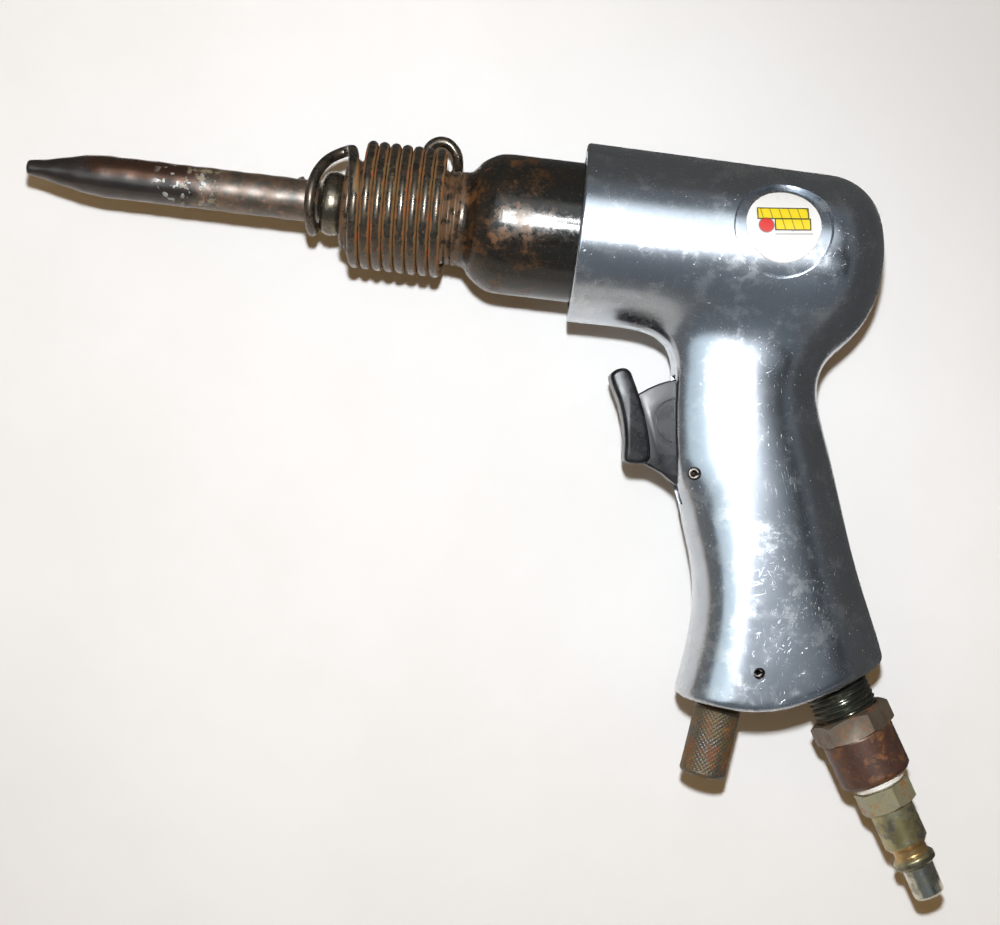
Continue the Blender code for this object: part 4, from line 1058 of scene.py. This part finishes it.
def spring_wire():
    s = Shade("spring_wire_rusty", (0.098, 0.088, 0.072), 0.9, 0.24)
    s.layer(s.spots(2.4, 0.5, 0.1, 1.0, 5.0), (0.090, 0.064, 0.042), 0.6, 0.36, 0.7)
    flat = s.vector("MULTIPLY", s.place, (0, 1, 1)).outputs[0]
    from_axis = s.vector("DISTANCE", flat, (0, COIL_RISE, 0)).outputs["Value"]
    wobble = s.times(s.math("SUBTRACT", s.noise(2.6, 4.0, 0.7), 0.5), 0.9)
    depth = s.math("ADD", from_axis, wobble)
    gaps = s.times(s.inverse(s.step(depth, 17.42, 0.20)), s.band(s.axis("X"), -61.8, -36.6, 0.6))
    s.layer(gaps, (0.21, 0.098, 0.024), 0.0, 0.85)
    s.layer(s.times(gaps, s.spots(4.0, 0.57, 0.08, 5.0)), (0.34, 0.090, 0.013), 0.0, 0.85)
    s.layer(s.times(gaps, s.spots(3.0, 0.56, 0.07, 15.0)), (0.17, 0.118, 0.038), 0.0, 0.85)
    s.layer(s.spots(1.3, 0.64, 0.06, 3.0, 4.0), (0.14, 0.065, 0.028), 0.0, 0.6, 0.8)
    s.bump(s.noise(0.45, 4.0, 0.7), 0.008)
    s.bump(gaps, 0.03)
    return s.done()


def knob_steel():
    s = Shade("knob_knurled_rusty", (0.098, 0.072, 0.032), 0.2, 0.52)
    s.layer(s.spots(5.0, 0.54, 0.10, 1.0), (0.078, 0.072, 0.060), 0.4, 0.42)
    s.layer(s.spots(4.0, 0.56, 0.08, 5.0, 5.0), (0.15, 0.058, 0.018), 0.05, 0.7)
    s.layer(s.spots(2.0, 0.61, 0.07, 9.0, 5.0), (0.20, 0.100, 0.025), 0.0, 0.7, 0.8)
    s.layer(s.spots(0.7, 0.72, 0.02, 4.0, 2.0), (0.40, 0.37, 0.30), 0.9, 0.24)
    s.bump(s.noise(0.4, 4.0, 0.7), 0.03)
    return s.done()


def adapter_steel():
    s = Shade("adapter_rusty_steel", (0.100, 0.047, 0.030), 0.35, 0.40)
    u = s.along(INLET_AXIS, INLET_POINT)
    s.layer(s.spots(3.0, 0.52, 0.10, 1.0, 5.0), (0.075, 0.042, 0.032), 0.4, 0.42, 0.7)
    s.layer(s.spots(1.0, 0.64, 0.06, 21.0, 3.0), (0.17, 0.14, 0.14), 0.8, 0.26, 0.7)
    hexagon_part = s.band(u, 3.4, 10.1, 0.15)
    s.layer(hexagon_part, (0.15, 0.12, 0.085), 0.45, 0.36)
    s.layer(s.times(hexagon_part, s.spots(3.0, 0.54, 0.09, 6.0)), (0.10, 0.062, 0.040), 0.3, 0.5, 0.8)
    thread_part = s.inverse(s.step(u, 3.3, 0.2))
    s.layer(thread_part, (0.085, 0.088, 0.070), 0.85, 0.30)
    off_thread = s.step(u, 3.3, 0.4)
    s.layer(s.times(off_thread, s.spots(3.6, 0.60, 0.08, 4.0, 5.0)), (0.19, 0.070, 0.016), 0.0, 0.7)
    s.layer(s.spots(2.2, 0.65, 0.07, 12.0, 5.0), (0.16, 0.076, 0.017), 0.0, 0.7, 0.6)
    s.layer(s.times(thread_part, s.spots(4.0, 0.68, 0.05, 3.0)), (0.24, 0.10, 0.022), 0.0, 0.7, 0.8)
    s.bump(s.noise(0.6, 4.0, 0.7), 0.02)
    return s.done()


def zinc_yellow():
    s = Shade("plug_yellow_zinc", (0.43, 0.385, 0.225), 0.85, 0.33)
    u = s.along(INLET_AXIS, INLET_POINT)
    s.layer(s.spots(5.0, 0.5, 0.12, 1.0), (0.35, 0.29, 0.135), 0.85, 0.30)
    s.layer(s.spots(4.0, 0.56, 0.08, 8.0), (0.20, 0.19, 0.15), 0.85, 0.36)
    hexagon_part = s.band(u, 25.9, 32.3, 0.1)
    s.layer(hexagon_part, (0.31, 0.29, 0.19), 0.35, 0.42, 0.8)
    s.layer(s.band(u, 43.2, 47.0, 0.5), (0.48, 0.29, 0.11), 0.85, 0.30, 0.8)
    s.layer(s.band(u, 48.2, 50.6, 0.2), (0.16, 0.145, 0.11), 0.9, 0.26, 0.8)
    tip = s.step(u, 50.6, 0.2)
    s.layer(tip, (0.60, 0.57, 0.48), 1.0, 0.22)
    s.layer(s.times(tip, s.spots(3.0, 0.56, 0.08, 2.0)), (0.36, 0.34, 0.26), 1.0, 0.32)
    rust = s.spots(3.0, 0.60, 0.06, 14.0, 4.0)
    s.layer(s.times(rust, s.inverse(s.step(u, 33.0, 1.0))), (0.28, 0.125, 0.03), 0.05, 0.55)
    s.layer(s.spots(0.9, 0.68, 0.05, 5.0, 3.0), (0.13, 0.08, 0.035), 0.1, 0.5)
    s.bump(s.noise(0.5, 4.0, 0.65), 0.008)
    return s.done()


def plain_metal(name, colour, rough, size=2.0, spotted=0.66):
    s = Shade(name, colour, 1.0, rough)
    s.layer(s.spots(size * 3, 0.5, 0.15, 1.0), tuple(c * 0.78 for c in colour), None, rough + 0.1)
    s.layer(s.spots(size * 0.5, spotted, 0.05, 2.0), tuple(c * 0.45 for c in colour), None, rough + 0.25)
    s.bump(s.noise(0.4, 3.0), 0.01)
    return s.done()


def rubber():
    s = Shade("seal_rubber_black", (0.016, 0.016, 0.016), 0.0, 0.55)
    s.layer(s.spots(0.8, 0.5, 0.2), (0.035, 0.034, 0.033), None, 0.7)
    s.bump(s.noise(0.3, 3.0), 0.01)
    return s.done()


def trigger_plastic():
    s = Shade("trigger_plastic_black", (0.008, 0.008, 0.0092), 0.0, 0.24)
    s.layer(s.spots(6.0, 0.5, 0.15, 1.0), (0.015, 0.015, 0.017), None, 0.32)
    s.layer(s.spots(0.8, 0.655, 0.05, 3.0, 4.0), (0.060, 0.058, 0.055), None, 0.6, 0.6)
    s.layer(s.scratches((0.6, 1.4, 2.2), 3.0, 0.10, 0.70, 5.0), (0.10, 0.10, 0.10), None, 0.5, 0.7)
    s.bump(s.noise(0.3, 3.0, 0.6), 0.008)
    return s.done(Specular_IOR_Level=0.18)


def badge_print():
    """A white label with a plain graphic: two broken amber bars, a red dot and a thin grey line."""
    s = Shade("badge_print", (0.78, 0.79, 0.78), 0.0, 0.30)
    normal, middle = badge_axis(), Vector((BADGE_X, 0, 0))
    level = X_AXIS * math.cos(VIEW_ROLL) + normal.cross(X_AXIS) * math.sin(VIEW_ROLL)
    p, q = s.along(level, middle), s.along(normal.cross(level), middle)

    def patch(x, y, half_x, half_y):
        inside = s.band(p, x - half_x, x + half_x, 0.05)
        return s.times(inside, s.band(q, y - half_y, y + half_y, 0.05))

    def dot(x, y, radius):
        a, b = s.math("SUBTRACT", p, x), s.math("SUBTRACT", q, y)
        away = s.math("SQRT", s.math("ADD", s.times(a, a), s.times(b, b)))
        return s.band(away, -1.0, radius, 0.05)

    black, amber, red = (0.03, 0.027, 0.012), (0.80, 0.62, 0.02), (0.62, 0.035, 0.03)
    wave = s.math("PINGPONG", s.math("ADD", p, s.times(q, 0.25)), 1.25)
    breaks, edge = s.inverse(s.step(wave, 0.13, 0.05)), 0.35
    for x, y, half_x, half_y in ((-0.1, 3.2, 7.0, 1.75), (2.4, 0.0, 4.9, 1.75)):
        s.layer(patch(x, y, half_x, half_y), black)
        bar = patch(x, y, half_x - edge, half_y - edge)
        s.layer(bar, amber)
        s.layer(s.times(bar, breaks), black, amount=0.7)
    s.layer(dot(-4.7, -0.2, 2.15), black, amount=0.8)
    s.layer(dot(-4.7, -0.2, 1.9), red)
    s.layer(patch(2.6, -2.7, 5.0, 0.22), (0.30, 0.30, 0.30), amount=0.7)
    s.layer(s.spots(1.6, 0.67, 0.05, 2.0), (0.42, 0.40, 0.34), None, 0.5, 0.5)
    s.bump(s.noise(0.5, 3.0), 0.006)
    return s.done()


def tape_white():
    s = Shade("thread_tape_white", (0.80, 0.79, 0.73), 0.0, 0.5)
    s.layer(s.spots(2.5, 0.56, 0.08, 2.0), (0.55, 0.47, 0.33), None, 0.6, 0.6)
    s.bump(s.noise(0.5, 3.0), 0.05)
    return s.done()


# ---------------------------------------------------------------- stage

VIEW_CENTRE = (-13.7, -66.0)      # tool millimetres under the camera
VIEW_DISTANCE = 550.0             # from the camera to the tool's mid-plane
VIEW_WIDTH = 278.5                # millimetres across the picture at the mid-plane
VIEW_ROLL = math.radians(6.85)


def make_camera():
    data = bpy.data.cameras.new("camera")
    data.sensor_fit, data.sensor_width = "HORIZONTAL", 36.0
    data.lens = data.sensor_width * VIEW_DISTANCE / VIEW_WIDTH
    data.clip_start, data.clip_end = 0.01, 20.0
    camera = bpy.data.objects.new("camera", data)
    bpy.context.scene.collection.objects.link(camera)
    camera.location = ORIGIN + Vector((*VIEW_CENTRE, VIEW_DISTANCE)) * MM
    camera.rotation_euler = (0, 0, VIEW_ROLL)
    bpy.context.scene.camera = camera


def staged(name, corners, material):
    """A flat quad that isn't part of the object."""
    mesh = bpy.data.meshes.new(name)
    mesh.from_pydata([tuple(c) for c in corners], [], [(0, 1, 2, 3)])
    mesh.materials.append(material)
    obj = bpy.data.objects.new(name, mesh)
    bpy.context.scene.collection.objects.link(obj)
    return obj


def make_floor():
    """A pale sheet with painted shade: it darkens behind the housing, away from the grip."""
    reach, level = 3.0, CAD_BOUNDS[0][2]
    s = Shade("floor_sheet", (0.80, 0.80, 0.79), 0.0, 0.75)
    s.layer(s.spots(70.0, 0.5, 0.2), (0.83, 0.83, 0.825))
    # Painted shade: the sheet gets darker towards the rear and away from the grip.
    s.layer(s.step(s.along((0.6, 0.8, 0.0)), 75.0, 65.0), (0.62, 0.62, 0.615))
    s.bump(s.noise(3.0, 4.0), 0.02)
    # The lamp only reaches the middle, so the far sheet, outside the picture, is lit for the eye alone.
    away = s.vector("LENGTH", s.place, (0, 0, 0)).outputs["Value"]
    seen = s.node("ShaderNodeLightPath").outputs["Is Camera Ray"]
    s.shader.inputs["Emission Color"].default_value = (0.95, 0.95, 0.94, 1)
    glow = s.times(s.times(s.step(away, 560.0, 310.0), seen), 0.62)
    s.feed(s.shader.inputs["Emission Strength"], glow)
    signs = ((-1, -1), (1, -1), (1, 1), (-1, 1))
    staged("floor", [(x * reach, y * reach, level) for x, y in signs], s.done())


def area_light(name, place, target, size, power, colour):
    """A round lamp at a place, aimed at a target."""
    data = bpy.data.lights.new(name, "AREA")
    data.shape = "DISK"
    data.size = size * MM
    data.energy = power
    data.color = colour
    light = bpy.data.objects.new(name, data)
    bpy.context.scene.collection.objects.link(light)
    light.location = ORIGIN + Vector(place) * MM
    aim = ORIGIN + Vector(target) * MM - light.location
    light.rotation_mode = "QUATERNION"
    light.rotation_quaternion = aim.to_track_quat("-Z", "Y")
    return light


def card(name, centre, across, up, colour, fade=None):
    """A studio card that only shows in reflections, even in colour or fading from a share of its size."""
    centre, across, up = Vector(centre), Vector(across) / 2, Vector(up) / 2
    corners = [centre - across - up, centre + across - up, centre + across + up, centre - across + up]
    s = Shade(name, (0, 0, 0), 0.0, 1.0)
    s.shader.inputs["Emission Color"].default_value = (*colour, 1)
    s.shader.inputs["Emission Strength"].default_value = 1.0
    if fade is not None:
        parts = [s.math("DIVIDE", s.along(side.normalized(), centre), side.length) for side in (across, up)]
        away = s.math("SQRT", s.math("ADD", *(s.times(part, part) for part in parts)))
        lit = s.inverse(s.step(away, (1 + fade) / 2, (1 - fade) / 2))
        s.feed(s.shader.inputs["Emission Strength"], lit)
    obj = staged(name, [ORIGIN + corner * MM for corner in corners], s.done(Specular_IOR_Level=0.0))
    obj.visible_camera = obj.visible_diffuse = obj.visible_shadow = False


def make_room():
    """A dim room: warm where it only lights the floor, cool overhead in reflections, pale to the eye."""
    world = bpy.data.worlds.new("room")
    bpy.context.scene.world = world
    world.use_nodes = True
    new, link = world.node_tree.nodes.new, world.node_tree.links.new
    split = new("ShaderNodeSeparateXYZ")
    link(new("ShaderNodeTexCoord").outputs["Generated"], split.inputs[0])
    ramp = new("ShaderNodeValToRGB")
    stops = (
        (0.0, (0.20, 0.20, 0.195)), (0.25, (0.20, 0.20, 0.20)), (0.5, (0.15, 0.16, 0.17)),
        (0.8, (0.14, 0.165, 0.19)), (1.0, (0.16, 0.19, 0.22)),
    )
    elements = ramp.color_ramp.elements
    while len(elements) < len(stops):
        elements.new(0.5)
    for element, (position, colour) in zip(elements, stops):
        element.position, element.color = position, (*colour, 1)
    link(split.outputs["Z"], ramp.inputs["Fac"])
    path, shown = new("ShaderNodeLightPath"), ramp.outputs["Color"]
    for ray, colour in (
        ("Is Diffuse Ray", (0.20, 0.120, 0.045, 1)), ("Is Camera Ray", (0.80, 0.80, 0.79, 1)),
    ):
        mix = new("ShaderNodeMix")
        mix.data_type = "RGBA"
        link(path.outputs[ray], mix.inputs[0])
        link(shown, mix.inputs[6])
        mix.inputs[7].default_value = colour
        shown = mix.outputs[2]
    link(shown, world.node_tree.nodes["Background"].inputs["Color"])


def make_lights():
    """A flash beside the camera, and cards for what the polished metal mirrors."""
    up = Vector((-math.sin(VIEW_ROLL), math.cos(VIEW_ROLL), 0))
    eye = Vector((*VIEW_CENTRE, VIEW_DISTANCE))
    area_light("flash", eye + up * 84, (*VIEW_CENTRE, -25), 28, 3.65, (0.925, 0.96, 1.0))
    glint = area_light("glint", eye + up * 180, (0, 0, 0), 36, 1.5, (0.93, 0.97, 1.0))
    glint.visible_diffuse = False
    overhead = eye + up * 370 + Z_AXIS * 20
    card("window_above", overhead, (1100, 0, 0), (0, 560, 0), (1.5, 1.65, 1.75), 0.2)
    card("window_left", (-360, -60, 570), (800, 0, 0), (0, 600, 0), (0.95, 1.12, 1.2), 0.7)
    card("window_right", (60, -75, 572), (1200, 0, 0), (0, 300, 0), (0.38, 0.43, 0.47), 0.1)
    card("flag_above", (-30, 84, 10), (400, 0, 0), (0, 0, 86), (0.10, 0.10, 0.095))
    card("flag_right", (128, -40, 10), (0, 250, 0), (0, 0, 86), (0.09, 0.09, 0.088))
    card("flag_floor_above", (-30, 56, -24.6), (400, 0, 0), (0, 58, 0), (0.10, 0.10, 0.095))
    card("flag_floor_right", (112, -40, -24.6), (34, 0, 0), (0, 250, 0), (0.09, 0.09, 0.088))
    card("bounce_below", (-40, -430, 55), (760, 0, 0), (0, 0, 170), (0.62, 0.61, 0.57))
    make_room()
    bpy.context.scene.view_settings.view_transform = "Standard"


# ---------------------------------------------------------------- the tool

def paint_hidden():
    """Gives every CAD node that stays its own procedural material."""
    looks = {
        "piston": plain_metal("piston_steel", (0.5, 0.5, 0.52), 0.22),
        "valve_case_front": plain_metal("case_front_steel", (0.42, 0.42, 0.43), 0.3),
        "valve_case_rear": plain_metal("case_rear_steel", (0.42, 0.42, 0.43), 0.32),
        "valve_disc": plain_metal("disc_steel", (0.5, 0.5, 0.52), 0.2),
        "valve_pin_1": plain_metal("dowel_steel", (0.48, 0.48, 0.48), 0.3),
        "throttle_bushing": plain_metal("bushing_brass", (0.72, 0.52, 0.22), 0.28),
        "throttle_stem": plain_metal("stem_brass", (0.68, 0.5, 0.24), 0.26),
        "inlet_screen": plain_metal("screen_wire", (0.55, 0.5, 0.35), 0.4, 0.4),
        "regulator_seal_ring": rubber(),
    }
    looks["valve_pin_2"] = looks["valve_pin_1"]
    looks["throttle_seal_ring"] = looks["bushing_seal_ring"] = looks["regulator_seal_ring"]
    for name, material in looks.items():
        materials = frame["nodes"][name].data.materials
        materials.clear()
        materials.append(material)


def main():
    make_camera()
    make_floor()
    make_lights()
    paint_hidden()
    make_casting(aluminium())
    make_barrel(black_oxide())
    make_punch(punch_steel())
    make_spring(spring_wire())
    make_trigger(trigger_plastic())
    pin = plain_metal("roll_pin_dull_steel", (0.16, 0.14, 0.12), 0.42, 0.8)
    roll_pin("trigger_roll_pin", TRIGGER_PIVOT, 1.5, 25.0, "trigger_pin", pin)
    roll_pin("regulator_roll_pin", REGULATOR_PIN, 1.3, 28.0, "regulator_pin", pin)
    make_throttle_spring(plain_metal("spring_bright_steel", (0.5, 0.5, 0.5), 0.28, 0.5))
    make_badge(badge_print())
    make_knob(knob_steel())
    make_adapter(adapter_steel())
    make_tape(tape_white())
    make_plug(zinc_yellow())


main()
